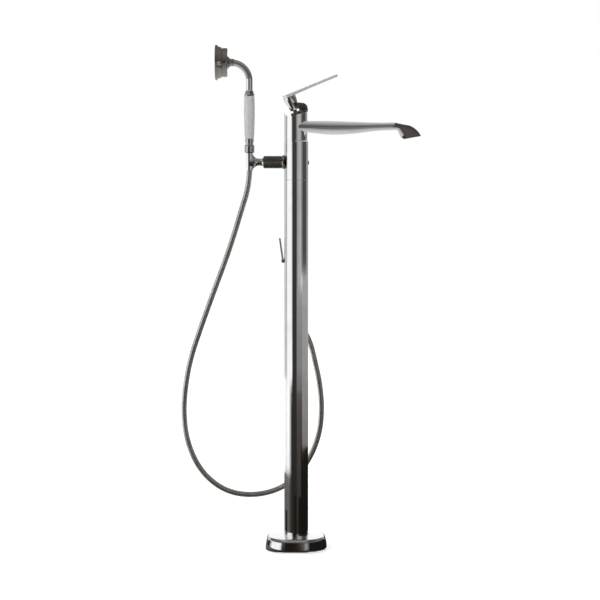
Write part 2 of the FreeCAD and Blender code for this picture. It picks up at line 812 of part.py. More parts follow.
def arm_sleeve():
    """The ribbed sleeve, flared where it meets the column, with a rounded outer shoulder."""
    spigot_start = arm_end - 8
    hub_bore = neck_waist_radius - 0.25 + slide_fit
    first_rib = arm_flare_end + 3
    steps = [(arm_bolt_radius + slide_fit, 15), (arm_flare_radius, 15),
             (arm_flare_radius, arm_flare_end - 1), (arm_radius, arm_flare_end + 1), (arm_radius, first_rib)]
    for rib in range(rib_count):
        valley = first_rib + (rib + 0.5) * rib_pitch
        steps += [(arm_radius - rib_depth, valley), (arm_radius, valley + rib_pitch / 2)]
    shoulder_bow = arm_shoulder * math.sqrt(0.5)
    inner = arm_radius - arm_shoulder
    steps += [(arm_radius, arm_end - arm_shoulder),
              (inner + shoulder_bow, arm_end - arm_shoulder + shoulder_bow, inner, arm_end),
              (hub_bore, arm_end), (hub_bore, spigot_start), (arm_bolt_radius + slide_fit, spigot_start)]
    sleeve = turned(steps, V(0, 0, arm_height), LEFT)
    return sleeve.cut(rod(column_radius + running_fit, 60, V(0, 0, arm_height - 30)))


def arm_neck():
    """The narrow neck that opens into a bell against the cradle."""
    spigot = neck_waist_radius - 0.25
    steps = [
        (0, arm_end - 3), (arm_bolt_radius + slide_fit, arm_end - 3),
        (arm_bolt_radius + slide_fit, arm_end - 8), (spigot, arm_end - 8), (spigot, arm_end),
        (9.0, arm_end), (7.6, arm_end + 3.0, neck_waist_radius, neck_waist),
        (bell_start_radius + 0.4, neck_waist + 6.0, bell_radius, bell_end - 1.5), (bell_radius, bell_end),
        (0, bell_end),
    ]
    return turned(steps, V(0, 0, arm_height), LEFT)


def cradle():
    """A split sleeve that the handset's tail drops into, on a round pad against the bell."""
    base = V(handset_x, 0, cradle_bottom)
    height = cradle_top - cradle_bottom
    sleeve = rod(cradle_radius, height, base)
    pad = rod(bell_radius - 2, -handset_x - bell_end, arm_point(bell_end), LEFT)
    outside = box_between(V(-bell_end, -30, cradle_bottom), V(0, 30, cradle_top))
    bore = rod(tail_radius + running_fit + 0.03, height, base)
    slot = box_between(V(handset_x - 2 * cradle_radius, -cradle_slot / 2, cradle_bottom),
                       V(handset_x, cradle_slot / 2, cradle_top))
    return sleeve.fuse(pad).cut([outside, bore, slot])


# Handset

def head_point(distance):
    return V(handset_x - distance, 0, head_height)


def neck_route():
    corner = V(handset_x, 0, head_height)
    bottom = V(handset_x, 0, neck_bottom)
    return smooth_path([head_point(neck_end_reach), corner, bottom], neck_bend_radius)[0]


def handset_neck():
    path = neck_route()
    return swept(neck_radius, path).cut(swept(neck_radius - neck_wall, path))


def head_boss():
    steps = [
        (0, boss_start), (boss_small_radius, boss_start), (boss_radius, boss_start + 6),
        (boss_radius, ring_start - 2), (boss_radius + 3, ring_start), (0, ring_start),
    ]
    return turned(steps, head_point(0), LEFT).cut(swept(neck_radius + running_fit, neck_route()))


def shower_ring():
    """The disc behind the head, with a rounded back and a groove before the shell."""
    edge = 3.0
    bow = edge * (1 - math.sqrt(0.5))
    groove_radius = ring_radius - ring_groove
    shell_start = ring_end + ring_groove
    steps = [
        (neck_radius + slide_fit, ring_start), (ring_radius - edge, ring_start),
        (ring_radius - bow, ring_start + bow, ring_radius, ring_start + edge), (ring_radius, ring_end),
        (groove_radius, ring_end), (groove_radius, shell_start), (neck_radius - neck_wall, shell_start),
        (neck_radius - neck_wall, neck_end_reach + slide_fit),
        (neck_radius + slide_fit, neck_end_reach + slide_fit),
    ]
    return turned(steps, head_point(0), LEFT)


def shower_shell():
    back = ring_end + ring_groove
    steps = [
        (neck_radius, back), (shell_back_radius, back), (shell_front_radius, shell_end),
        (shell_front_radius - shell_wall, shell_end), (shell_back_radius - shell_wall, back + shell_wall),
        (neck_radius, back + shell_wall),
    ]
    return turned(steps, head_point(0), LEFT)


def shower_rim():
    r = 1.5
    bow = r * (1 - math.sqrt(0.5))
    front = rim_radius - r
    steps = [
        (plate_radius, shell_end), (front, shell_end),
        (rim_radius - bow, shell_end + bow, rim_radius, shell_end + r), (rim_radius, rim_end - r),
        (rim_radius - bow, rim_end - bow, front, rim_end), (plate_radius, rim_end),
    ]
    return turned(steps, head_point(0), LEFT)


def spray_plate():
    front = rim_end - plate_setback
    radius = plate_radius - slide_fit
    steps = [
        (0, front - plate_thickness), (radius, front - plate_thickness), (radius, front - plate_chamfer),
        (radius - plate_chamfer, front), (0, front),
    ]
    return turned(steps, head_point(0), LEFT)


def spray_nozzles():
    seat = rim_end - plate_setback
    tip = seat + nozzle_length
    steps = [(0, seat), (nozzle_radius, seat), (nozzle_radius * 0.7, tip), (0, tip)]
    turn = FreeCAD.Rotation(UP, LEFT)
    nozzles = []
    for ring, count in zip(nozzle_ring_radii, nozzle_ring_counts):
        for place in around(count, ring):
            nozzles.append(turned(steps, head_point(0) + turn.multVec(place), LEFT))
    return Part.makeCompound(nozzles)


def handset_turned(steps):
    return turned(steps, V(handset_x, 0, 0))


def upper_ferrule():
    bore = neck_radius + running_fit
    top = grip_top + ferrule_height
    return handset_turned([
        (bore, grip_top), (ferrule_radius, grip_top),
        (ferrule_bead_radius, grip_top + 2, ferrule_radius, grip_top + 4),
        (ferrule_radius - 1.0, top - 1.5), (ferrule_radius - 2.0, top), (bore, top),
    ])


def porcelain_grip():
    bore = neck_radius + running_fit
    end = 0.8
    return handset_turned([
        (bore, grip_bottom), (grip_bottom_radius - end, grip_bottom),
        (grip_bottom_radius, grip_bottom + end),
        (grip_swell_radius, grip_swell_height, grip_top_radius, grip_top - end),
        (grip_top_radius - end, grip_top), (bore, grip_top),
    ])


def lower_ferrule():
    bore = inlet_radius + slide_fit
    return handset_turned([
        (bore, lower_groove_bottom), (lower_groove_radius, lower_groove_bottom),
        (lower_groove_radius, lower_groove_top), (lower_ferrule_radius, lower_groove_top),
        (lower_ferrule_radius, grip_bottom), (neck_radius + running_fit, grip_bottom),
        (neck_radius + running_fit, neck_bottom), (bore, neck_bottom),
    ])


def lower_collar():
    bore = inlet_radius + slide_fit
    soft = 2.0
    bow = soft * (1 - math.sqrt(0.5))
    top = lower_groove_bottom
    inner = collar_radius - soft
    return handset_turned([
        (bore, collar_bottom), (inner, collar_bottom),
        (collar_radius - bow, collar_bottom + bow, collar_radius, collar_bottom + soft),
        (collar_radius, top - soft), (collar_radius - bow, top - bow, inner, top), (bore, top),
    ])


def handset_inlet():
    length = grip_bottom - inlet_bottom
    return pipe(inlet_radius, inlet_bore, length, V(handset_x, 0, inlet_bottom))


def hose_nut_upper():
    shelf = inlet_bottom - washer_thickness - moving_gap
    bore = inlet_radius + running_fit
    top = collar_bottom - moving_gap
    return handset_turned([
        (inlet_bore, cradle_bottom), (tail_radius, cradle_bottom), (tail_radius, top), (bore, top),
        (bore, shelf), (inlet_bore, shelf),
    ])


def upper_hose_washer():
    shelf = inlet_bottom - washer_thickness - moving_gap
    return pipe(inlet_radius - running_fit, inlet_bore, washer_thickness, V(handset_x, 0, shelf))


# Diverter

def diverter_body():
    height = block_top - block_bottom
    block = rod(column_bore - block_room, height, V(0, 0, block_bottom))
    block = block.common(box_between(V(-60, -60, block_bottom), V(block_face_x, 60, block_top)))
    length = diverter_cartridge_end - diverter_cartridge_start
    start = V(-diverter_cartridge_start, 0, diverter_height)
    seat = rod(diverter_cartridge_radius, column_bore, start, LEFT)
    spindle = rod(spindle_radius + running_fit, length, start + RIGHT * 2, LEFT)
    nipple = rod(outlet_radius + slide_fit, column_bore, V(outlet_x, outlet_inner_end, outlet_height), BACK)
    pockets = [rod(mixed_pipe_radius + slide_fit, pipe_pocket, place + UP * (block_top - pipe_pocket))
               for place in mixed_places.values()]
    return block.cut([seat, spindle, nipple] + pockets)


def diverter_cartridge():
    length = diverter_cartridge_end - diverter_cartridge_start
    start = V(-diverter_cartridge_start, 0, diverter_height)
    bore = spindle_radius + running_fit
    body = pipe(diverter_cartridge_radius - slide_fit, bore, length, start, LEFT)
    return body.common(rod(column_bore - block_room, 40, V(0, 0, diverter_height - 20)))


def diverter_boss_start():
    return column_radius + moving_gap


def diverter_spindle():
    end = diverter_boss_start() + diverter_boss_length - 1.5
    start = V(-spindle_inner_end, 0, diverter_height)
    spindle = rod(spindle_radius, end - spindle_inner_end, start, LEFT)
    tapped = rod(1.6, 6, V(-end + 6, 0, diverter_height), LEFT)
    return spindle.cut(tapped)


def diverter_lever():
    """A small handle: a round boss on the spindle and a blade that leans away from the column."""
    start = diverter_boss_start()
    boss = rod(diverter_boss_radius, diverter_boss_length, V(-start, 0, diverter_height), LEFT)

    def section(x, z, half_width):
        return rounded_outline(blade_half_thickness, half_width, blade_half_thickness * 0.7,
                               lambda a, b: V(x + a, b, z))
    root = section(blade_root_x, diverter_height, blade_root_half_width)
    tip = section(blade_tip_x, blade_tip_height, blade_tip_half_width)
    blade = Part.makeLoft([root, tip], True, True)
    crest = [edge for edge in blade.Edges if edge.BoundBox.ZMin > blade_tip_height - 0.01]
    blade = blade.makeFillet(1.2, crest)
    keep_out = rod(start, 60, V(0, 0, diverter_height - 10))
    spindle = rod(spindle_radius + 0.02, diverter_boss_length - 1.5, V(-start, 0, diverter_height), LEFT)
    screw = rod(1.7, 20, V(-start, 0, diverter_height), LEFT)
    head = rod(3.2, 20, V(-start - diverter_boss_length, 0, diverter_height), LEFT)
    return boss.fuse(blade).cut([keep_out, spindle, screw, head])


def diverter_lever_screw():
    start = diverter_boss_start() + diverter_boss_length
    head = turned([(0, 0), (3.0, 0), (3.0, 0.8), (2.0, 1.5), (0, 1.5)], V(-start, 0, diverter_height), LEFT)
    shank = rod(1.5, 6.5, V(-start, 0, diverter_height), RIGHT)
    return head.fuse(shank)


# Hose and its outlet

def outlet_route():
    points = [V(outlet_x, outlet_inner_end, outlet_height), V(outlet_x, outlet_reach, outlet_height),
              V(outlet_x, outlet_reach, outlet_bottom)]
    return smooth_path(points, outlet_bend_radius)[0]


def outlet_elbow():
    path = outlet_route()
    flange_start = V(outlet_x, column_radius + moving_gap, outlet_height)
    flange = rod(outlet_flange_radius, outlet_flange_thickness, flange_start, BACK)
    collar_top = lower_nut_top + 4
    collar = rod(outlet_radius + 1.5, 4.0, V(outlet_x, outlet_reach, collar_top - 4))
    solid = swept(outlet_radius, path).fuse([flange, collar])
    return solid.cut(swept(outlet_radius - outlet_wall, path))


def outlet_seal():
    """A gasket between the elbow's flange and the column's round back."""
    reach = outlet_flange_radius
    start = V(outlet_x, column_radius + moving_gap - reach, outlet_height)
    ring = pipe(outlet_flange_radius - 0.5, outlet_radius + slide_fit, reach, start, BACK)
    return ring.cut(rod(column_radius, 60, V(0, 0, outlet_height - 30)))


def hose_nut_lower():
    shelf = outlet_bottom - washer_thickness
    bore = outlet_radius + running_fit
    small = outlet_radius - outlet_wall
    return turned([
        (small, lower_nut_bottom), (lower_nut_end_radius, lower_nut_bottom), (lower_nut_radius, shelf - 4),
        (lower_nut_radius, lower_nut_top), (bore, lower_nut_top), (bore, shelf), (small, shelf),
    ], V(outlet_x, outlet_reach, 0))


def lower_hose_washer():
    base = V(outlet_x, outlet_reach, outlet_bottom - washer_thickness)
    return pipe(outlet_radius, outlet_radius - outlet_wall, washer_thickness, base)


def shower_hose():
    lift = cradle_bottom / hose_drawn_height
    drawn = [V(x, y, z * lift) for x, y, z in hose_drawn]
    ends = [V(outlet_x, outlet_reach, 0.92 * lower_nut_bottom), V(outlet_x, outlet_reach, lower_nut_bottom)]
    path, radii = smooth_path(drawn + ends)
    hose = swept(hose_radius, path)
    expected = math.pi * hose_radius ** 2 * path.Length
    print("hose length %.0f mm, volume %.4f of section by length" % (path.Length, hose.Volume / expected))
    print("hose bend radii", " ".join("%.0f" % radius for radius in radii))
    return hose


pieces = [
    floor_flange, base_cover, base_cover_seal, column_set_screws,
    column_tube, joint_sleeve, joint_seal_rings, mixer_housing, mixer_body, mixer_cap,
    cartridge_body, cartridge_nut, cartridge_rotor, rotor_pin,
    lever_stem, lever_hub, lever_grub_screw, lever_bar,
    hot_riser, cold_riser, mixed_water_pipe, spout_riser_pipe, pipe_spacers, pipe_nuts,
    spout_body, spout_shank, spout_seal, aerator_housing, aerator_insert, aerator_seal,
    arm_bolt, arm_cap_nut, arm_sleeve, arm_neck, cradle,
    handset_neck, head_boss, shower_ring, shower_shell, shower_rim, spray_plate, spray_nozzles,
    upper_ferrule, porcelain_grip, lower_ferrule, lower_collar, handset_inlet,
    hose_nut_upper, upper_hose_washer,
    diverter_body, diverter_cartridge, diverter_spindle, diverter_lever, diverter_lever_screw,
    outlet_elbow, outlet_seal, hose_nut_lower, lower_hose_washer, shower_hose,
]

os.makedirs("parts", exist_ok=True)
for piece in pieces:
    shape = piece()
    shape.exportStep("parts/" + piece.__name__ + ".step")
    if not shape.isValid() or not shape.Solids:
        print("not a valid solid:", piece.__name__)
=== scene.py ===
"""Floor standing bath filler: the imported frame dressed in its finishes, on a pale floor under soft
light. The pieces are drawn in millimetres, and the hose, the camera and the stage in metres. X points
along the spout, Z up, and the camera stands on the -Y side."""

import json
import math

import bmesh
import bpy
from mathutils import Matrix, Vector


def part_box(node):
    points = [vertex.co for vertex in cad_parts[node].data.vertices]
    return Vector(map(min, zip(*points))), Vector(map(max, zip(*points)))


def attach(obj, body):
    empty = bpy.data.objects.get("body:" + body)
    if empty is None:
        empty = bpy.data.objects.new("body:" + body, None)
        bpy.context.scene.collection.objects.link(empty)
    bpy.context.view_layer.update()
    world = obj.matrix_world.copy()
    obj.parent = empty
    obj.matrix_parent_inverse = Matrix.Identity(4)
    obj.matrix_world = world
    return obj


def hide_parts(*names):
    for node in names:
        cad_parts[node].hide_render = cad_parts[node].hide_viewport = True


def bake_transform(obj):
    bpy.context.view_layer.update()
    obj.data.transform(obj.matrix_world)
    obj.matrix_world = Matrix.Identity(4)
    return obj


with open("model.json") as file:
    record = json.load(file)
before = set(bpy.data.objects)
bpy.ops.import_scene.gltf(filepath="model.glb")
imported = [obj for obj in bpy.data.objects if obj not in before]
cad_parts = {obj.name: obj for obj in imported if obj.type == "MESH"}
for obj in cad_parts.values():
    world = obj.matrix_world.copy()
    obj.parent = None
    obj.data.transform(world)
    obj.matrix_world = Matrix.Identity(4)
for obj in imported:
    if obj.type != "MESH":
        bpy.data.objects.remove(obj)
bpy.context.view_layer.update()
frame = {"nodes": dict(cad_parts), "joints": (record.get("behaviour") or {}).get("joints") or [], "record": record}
nodes = frame["nodes"]

MM = 0.001
UP = Vector((0, 0, 1))
LEFT = Vector((-1, 0, 0))
BACK = Vector((0, 1, 0))


# Camera, nearly four metres away at the spout's height, looking a little down

CAMERA_HEIGHT = 0.85
CAMERA_DISTANCE = 3.8
CAMERA_X = 0.0076
CAMERA_DOWN = math.radians(5.2467)
PICTURE_WIDTH = 600              # pixels, as the focal length is
FOCAL_LENGTH = 1915.61
SENSOR_WIDTH = 36                # millimetres

camera_data = bpy.data.cameras.new("camera")
camera_data.sensor_width = SENSOR_WIDTH
camera_data.lens = SENSOR_WIDTH * FOCAL_LENGTH / PICTURE_WIDTH
camera = bpy.data.objects.new("camera", camera_data)
camera.location = (CAMERA_X, -CAMERA_DISTANCE, CAMERA_HEIGHT)
camera.rotation_euler = (math.pi / 2 - CAMERA_DOWN, 0, 0)
bpy.context.scene.collection.objects.link(camera)
bpy.context.scene.camera = camera


# Making meshes

SAME_POINT = 1e-7                # metres within which two points are one
ON_AXIS = 1e-6                   # millimetres within which a point lies on a lathe's axis
EDGE_ANGLE = 28.0                # degrees from which an edge is rounded
EDGE_SEGMENTS = 3
ARC_STEP = math.radians(7)
LEAST_ARC_STEPS = 6


def add_object(name, data, body, slot, *replaced):
    """Puts a piece in the scene, on its body if it has one, in place of the nodes that it stands for."""
    piece = bpy.data.objects.new(name, data)
    bpy.context.scene.collection.objects.link(piece)
    if body:
        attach(piece, body)
    if replaced:
        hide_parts(*replaced)
    return piece


def mesh_from(name, points, faces, place=Matrix()):
    """A closed, smooth shaded mesh with its faces turned outwards."""
    mesh = bpy.data.meshes.new(name)
    mesh.from_pydata([place @ Vector(p) for p in points], [], faces)
    form = bmesh.new()
    form.from_mesh(mesh)
    bmesh.ops.remove_doubles(form, verts=form.verts, dist=SAME_POINT)
    bmesh.ops.recalc_face_normals(form, faces=form.faces)
    form.to_mesh(mesh)
    form.free()
    mesh.shade_smooth()
    return mesh


def soften(piece, width_mm, angle=EDGE_ANGLE):
    """Rounds the edges left by the tool, so that each one catches the light."""
    bevel = piece.modifiers.new("edge round", "BEVEL")
    bevel.width = width_mm * MM
    bevel.segments = EDGE_SEGMENTS
    bevel.limit_method = "ANGLE"
    bevel.angle_limit = math.radians(angle)
    bevel.harden_normals = True
    return piece


def arc_through(start, middle, end):
    """Points along the arc from start through middle to end, without start. Its centre (ux, uy) lies
    as far from all three."""
    (ax, ay), (bx, by), (cx, cy) = start, middle, end
    d = 2 * (ax * (by - cy) + bx * (cy - ay) + cx * (ay - by))
    ux = ((ax * ax + ay * ay) * (by - cy) + (bx * bx + by * by) * (cy - ay)
          + (cx * cx + cy * cy) * (ay - by)) / d
    uy = ((ax * ax + ay * ay) * (cx - bx) + (bx * bx + by * by) * (ax - cx)
          + (cx * cx + cy * cy) * (bx - ax)) / d
    radius = math.hypot(ax - ux, ay - uy)
    first = math.atan2(ay - uy, ax - ux)
    sweep = (math.atan2(cy - uy, cx - ux) - first) % math.tau
    if (math.atan2(by - uy, bx - ux) - first) % math.tau > sweep:
        sweep -= math.tau
    count = max(LEAST_ARC_STEPS, math.ceil(abs(sweep) / ARC_STEP))
    turns = [first + sweep * i / count for i in range(1, count + 1)]
    return [(ux + radius * math.cos(t), uy + radius * math.sin(t)) for t in turns]


def outline(steps):
    """A closed outline in millimetres: a pair is a corner, four values are an arc's middle and end."""
    points = [tuple(steps[0])]
    for step in steps[1:]:
        if len(step) == 4:
            points += arc_through(points[-1], step[:2], step[2:])
        else:
            points.append(tuple(step))
    return points


def rounded_rectangle(half_width, half_height, corner, arc_steps, flat_steps):
    """Points across and up, round a rectangle with rounded corners. flat_steps says in how many steps
    its level sides run, and its upright ones."""
    points = []
    for quarter in range(4):
        turn = quarter * math.pi / 2
        cx = (half_width - corner) * math.copysign(1, math.cos(turn + math.pi / 4))
        cy = (half_height - corner) * math.copysign(1, math.sin(turn + math.pi / 4))
        for k in range(arc_steps + 1):
            angle = turn + math.pi / 2 * k / arc_steps
            points.append((cx + corner * math.cos(angle), cy + corner * math.sin(angle)))
        x, y = points[-1]
        level = quarter % 2 == 0
        run_x, run_y = (-2 * cx, 0) if level else (0, -2 * cy)
        steps = flat_steps[0 if level else 1]
        points += [(x + run_x * k / steps, y + run_y * k / steps) for k in range(1, steps)]
    return points


def aimed(base, direction):
    """The place of a piece that is drawn up the Z axis from the origin, in millimetres."""
    turn = Vector(direction).to_track_quat("Z", "Y").to_matrix().to_4x4()
    return Matrix.Translation(Vector(base) * MM) @ turn @ Matrix.Scale(MM, 4)


def turned(name, steps, place, body, slot, *replaced, round_width=0.3, sides=96):
    """A piece turned on a lathe: radius and distance pairs, spun about the place's Z axis."""
    profile = outline(steps)
    points, faces = [], []
    count = len(profile)
    for i in range(sides):
        angle = math.tau * i / sides
        points += [(r * math.cos(angle), r * math.sin(angle), z) for r, z in profile]
        here, after = i * count, (i + 1) % sides * count
        for k in range(count):
            m = (k + 1) % count
            starts_on_axis = profile[k][0] < ON_AXIS
            ends_on_axis = profile[m][0] < ON_AXIS
            if starts_on_axis and ends_on_axis:
                continue
            if starts_on_axis:
                faces.append([here + k, after + m, here + m])
            elif ends_on_axis:
                faces.append([here + k, after + k, here + m])
            else:
                faces.append([here + k, after + k, after + m, here + m])
    piece = add_object(name, mesh_from(name, points, faces, place), body, slot, *replaced)
    return soften(piece, round_width)


def lofted(name, rings, place, body, slot, *replaced, capped=True):
    """A skin over rings of points, closed at both ends if it is capped."""
    count = len(rings[0])
    points = [p for ring in rings for p in ring]
    faces = []
    for i in range(len(rings) - 1):
        here, after = i * count, (i + 1) * count
        for k in range(count):
            m = (k + 1) % count
            faces.append([here + k, here + m, after + m, after + k])
    if capped:
        faces.append(list(range(count)))
        faces.append([(len(rings) - 1) * count + k for k in range(count)])
    return add_object(name, mesh_from(name, points, faces, place), body, slot, *replaced)


def sweep_rings(path, radius_at, sides):
    """Rings of points that don't twist, along a path that starts across the Y axis, with their radius
    by the distance run."""
    rings = []
    side = (path[1] - path[0]).cross(BACK)
    run = 0.0
    for i, p in enumerate(path):
        ahead = (path[min(i + 1, len(path) - 1)] - path[max(i - 1, 0)]).normalized()
        side = (side - ahead * side.dot(ahead)).normalized()
        other = ahead.cross(side)
        if i:
            run += (p - path[i - 1]).length
        r = radius_at(run)
        turns = [math.tau * k / sides for k in range(sides)]
        rings.append([p + side * (r * math.cos(t)) + other * (r * math.sin(t)) for t in turns])
    return rings


def line_of(curve_object):
    """The evaluated centre line of a curve that has no bevel."""
    view = bpy.context.evaluated_depsgraph_get()
    mesh = bpy.data.meshes.new_from_object(curve_object.evaluated_get(view))
    points = [v.co.copy() for v in mesh.vertices]
    bpy.data.meshes.remove(mesh)
    return points


def evenly(points, spacing):
    """The same line with its points a set distance apart."""
    runs = [0.0]
    for a, b in zip(points, points[1:]):
        runs.append(runs[-1] + (b - a).length)
    count = max(2, round(runs[-1] / spacing))
    made, k = [], 0
    for i in range(count + 1):
        target = runs[-1] * i / count
        while k < len(runs) - 2 and runs[k + 1] < target:
            k += 1
        share = (target - runs[k]) / (runs[k + 1] - runs[k])
        share = min(1.0, max(0.0, share))
        made.append(points[k].lerp(points[k + 1], share))
    return made


# Materials

EVEN = (1, 1, 1)                 # a pattern that isn't squeezed
MIX_FIRST = 6                    # the colour sockets of a mix node
MIX_SECOND = 7
MIX_RESULT = 2


def srgb(code):
    """A hex sRGB colour as the linear colour that the shader takes."""
    parts = [int(code[i:i + 2], 16) / 255 for i in (1, 3, 5)]
    return [p / 12.92 if p <= 0.04045 else ((p + 0.055) / 1.055) ** 2.4 for p in parts] + [1.0]


def add_node(tree, kind, settings=None, inputs=None):
    """Adds a node with its settings, and its sockets' values or links."""
    node = tree.nodes.new(kind)
    for key, value in (settings or {}).items():
        setattr(node, key, value)
    for key, value in (inputs or {}).items():
        if isinstance(value, bpy.types.NodeSocket):
            tree.links.new(value, node.inputs[key])
        else:
            node.inputs[key].default_value = value
    return node


def new_material(name):
    material = bpy.data.materials.new(name)
    material.use_nodes = True
    material.node_tree.nodes.clear()
    return material, material.node_tree


def finish_material(tree, inputs):
    """Ends a material in one shader with these values and links."""
    shader = add_node(tree, "ShaderNodeBsdfPrincipled", inputs=inputs)
    add_node(tree, "ShaderNodeOutputMaterial", inputs={"Surface": shader.outputs["BSDF"]})


def blotches(tree, size_mm, detail=3.0, squeeze=EVEN):
    """Soft cloudy noise with features of this size, squeezed along each axis by a factor."""
    place = add_node(tree, "ShaderNodeTexCoord").outputs["Object"]
    scaled = add_node(tree, "ShaderNodeMapping", inputs={"Vector": place, "Scale": squeeze})
    noise = add_node(tree, "ShaderNodeTexNoise",
                     inputs={"Vector": scaled.outputs["Vector"], "Scale": 1 / (size_mm * MM),
                             "Detail": detail})
    return noise.outputs["Fac"]


def spread(tree, value, low, high, from_low=0.3, from_high=0.7):
    """Moves a pattern's values to a range. Noise seldom leaves the range from 0.3 to 0.7."""
    node = add_node(tree, "ShaderNodeMapRange",
                    inputs={"Value": value, "From Min": from_low, "From Max": from_high,
                            "To Min": low, "To Max": high})
    return node.outputs["Result"]


def tinted(tree, value, first, second):
    """Colours between two sRGB codes by a pattern from 0 to 1."""
    node = add_node(tree, "ShaderNodeMix", {"data_type": "RGBA"},
                    {"Factor": value, MIX_FIRST: srgb(first), MIX_SECOND: srgb(second)})
    return node.outputs[MIX_RESULT]


def clouded(tree, size_mm, first, second):
    """Two close colours that drift into each other in clouds of this size."""
    return tinted(tree, spread(tree, blotches(tree, size_mm), 0, 1), first, second)


def bumped(tree, height, depth_mm, strength=1.0):
    """The surface's normal, tilted by a pattern that rises to this depth."""
    node = add_node(tree, "ShaderNodeBump",
                    inputs={"Height": height, "Distance": depth_mm * MM, "Strength": strength})
    return node.outputs["Normal"]


def chrome(name, first, second, smooth, rough, wave_mm, metal=1.0):
    """Chromium plate over buffed brass. It mirrors the room, with the faint long waves that
    buffing leaves and patches where dried water takes the edge off the mirror."""
    material, tree = new_material(name)
    film = blotches(tree, size_mm=28.0)
    waves = blotches(tree, size_mm=45.0, detail=1.0, squeeze=(1, 1, 0.35))
    finish_material(tree, {
        "Base Color": tinted(tree, spread(tree, film, 0, 1), first, second), "Metallic": metal,
        "Roughness": spread(tree, film, smooth, rough),
        "Normal": bumped(tree, waves, wave_mm),
    })
    return material


polished_chrome = chrome("polished_chrome", "#e3e4e6", "#d8d9db", 0.05, 0.10, wave_mm=0.02)

# Under the dry film that hands leave on it
buffed_chrome = chrome("buffed_chrome", "#f4f4f5", "#ececee", 0.46, 0.54, wave_mm=0.01, metal=0.74)

# Chrome with a darker colour as painted shade, on the handset's ferrules, collar and head, and darker still as
# painted shade behind the hub
shade_darkened_chrome = chrome("shade_darkened_chrome", "#b4b2b0", "#a3a09d", 0.07, 0.13, wave_mm=0.02)
shaded_chrome = chrome("shaded_chrome", "#7a7774", "#6a6764", 0.12, 0.2, wave_mm=0.02)

# Brass under the hub, with only traces of its plate, its colour darkened as painted shade
shaded_brass = chrome("shaded_brass", "#6a6350", "#5a5342", 0.30, 0.42, wave_mm=0.01)


def satin_metal(name, first, second, low, high, grain_mm):
    """Turned or drawn metal, with the fine rings of the tool in its gloss."""
    material, tree = new_material(name)
    colour = clouded(tree, 12.0, first, second)
    grain = blotches(tree, grain_mm, detail=2.0, squeeze=(1, 1, 6))
    finish_material(tree, {
        "Base Color": colour, "Metallic": 1.0,
        "Roughness": spread(tree, grain, low, high),
        "Normal": bumped(tree, grain, 0.01),
    })
    return material


turned_brass = satin_metal("turned_brass", "#c9a45c", "#b8924a", 0.22, 0.38, 0.8)
drawn_copper = satin_metal("drawn_copper", "#c57d56", "#a9623f", 0.25, 0.42, 1.2)
stainless_steel = satin_metal("stainless_steel", "#b9b9ba", "#a8a8aa", 0.20, 0.34, 0.7)
machined_flange = satin_metal("machined_flange_steel", "#8d8e90", "#7a7b7e", 0.34, 0.5, 1.0)


def porcelain_glaze():
    """Slip cast porcelain under a clear glaze, given a light grey colour as painted shade in place of
    its white, with a sharp highlight and a faint orange peel, since the glaze ran a little before it set."""
    material, tree = new_material("shade_greyed_porcelain")
    # Painted shade: a light grey in place of the porcelain's white
    colour = clouded(tree, 14.0, "#b7b7b6", "#adadac")
    peel = blotches(tree, size_mm=9.0, detail=1.0)
    finish_material(tree, {
        "Base Color": colour, "Roughness": 0.22, "IOR": 1.55,
        "Coat Weight": 0.6, "Coat Roughness": 0.06,
        "Normal": bumped(tree, peel, 0.006, strength=0.5),
    })
    return material


def moulded_plastic(name, first, second, low, high):
    """Moulded acetal or rubber: even and slightly waxy, with the fine grain of its mould."""
    material, tree = new_material(name)
    grain = blotches(tree, size_mm=0.8, detail=2.0)
    finish_material(tree, {
        "Base Color": clouded(tree, 9.0, first, second),
        "Roughness": spread(tree, grain, low, high), "IOR": 1.48,
        "Normal": bumped(tree, grain, 0.01, strength=0.6),
    })
    return material


def shade_darkened_sleeve_chrome(axis_height, groove, crest):
    """Chromium plate on a ribbed sleeve, given a dark colour as painted shade for the dark that the ribs
    mirror, and darkest in their grooves as painted shade. The sizes are the height of the sleeve's axis
    and the radii of its grooves and crests, in millimetres."""
    material, tree = new_material("shade_darkened_sleeve_chrome")
    place = add_node(tree, "ShaderNodeTexCoord").outputs["Object"]
    centred = add_node(tree, "ShaderNodeVectorMath", {"operation": "SUBTRACT"},
                       {0: place, 1: (0, 0, axis_height * MM)})
    across = add_node(tree, "ShaderNodeVectorMath", {"operation": "MULTIPLY"},
                      {0: centred.outputs["Vector"], 1: (0, 1, 1)})
    radius = add_node(tree, "ShaderNodeVectorMath", {"operation": "LENGTH"},
                      {0: across.outputs["Vector"]})
    # Painted shade: dark all over for the dark that the ribs mirror, and darker from the crests into the grooves
    depth = spread(tree, radius.outputs["Value"], 0, 1, groove * MM, crest * MM)
    finish_material(tree, {
        "Base Color": tinted(tree, depth, "#45403b", "#827d77"), "Metallic": 1.0,
        "Roughness": spread(tree, blotches(tree, size_mm=9.0), 0.18, 0.28),
    })
    return material


shade_greyed_porcelain = porcelain_glaze()
moulded_acetal = moulded_plastic("moulded_acetal", "#d9d7cf", "#cfccc3", 0.38, 0.5)
moulded_rubber = moulded_plastic("moulded_rubber", "#1d1d1e", "#262627", 0.55, 0.75)
silicone_nozzle = moulded_plastic("silicone_nozzle", "#8b8d90", "#7f8184", 0.45, 0.6)


def strip_hose_steel():
    """Strip of chromed steel wound into a hose, with the fine scratches of its turns as they slide
    on each other, and the film that hands and water leave."""
    material, tree = new_material("strip_wound_steel")
    colour = clouded(tree, 18.0, "#dad8d6", "#c4c1be")
    scratches = blotches(tree, size_mm=1.6, detail=2.0)
    finish_material(tree, {
        "Base Color": colour, "Metallic": 1.0,
        "Roughness": spread(tree, scratches, 0.2, 0.34),
        "Normal": bumped(tree, scratches, 0.02),
    })
    return material


strip_wound_steel = strip_hose_steel()

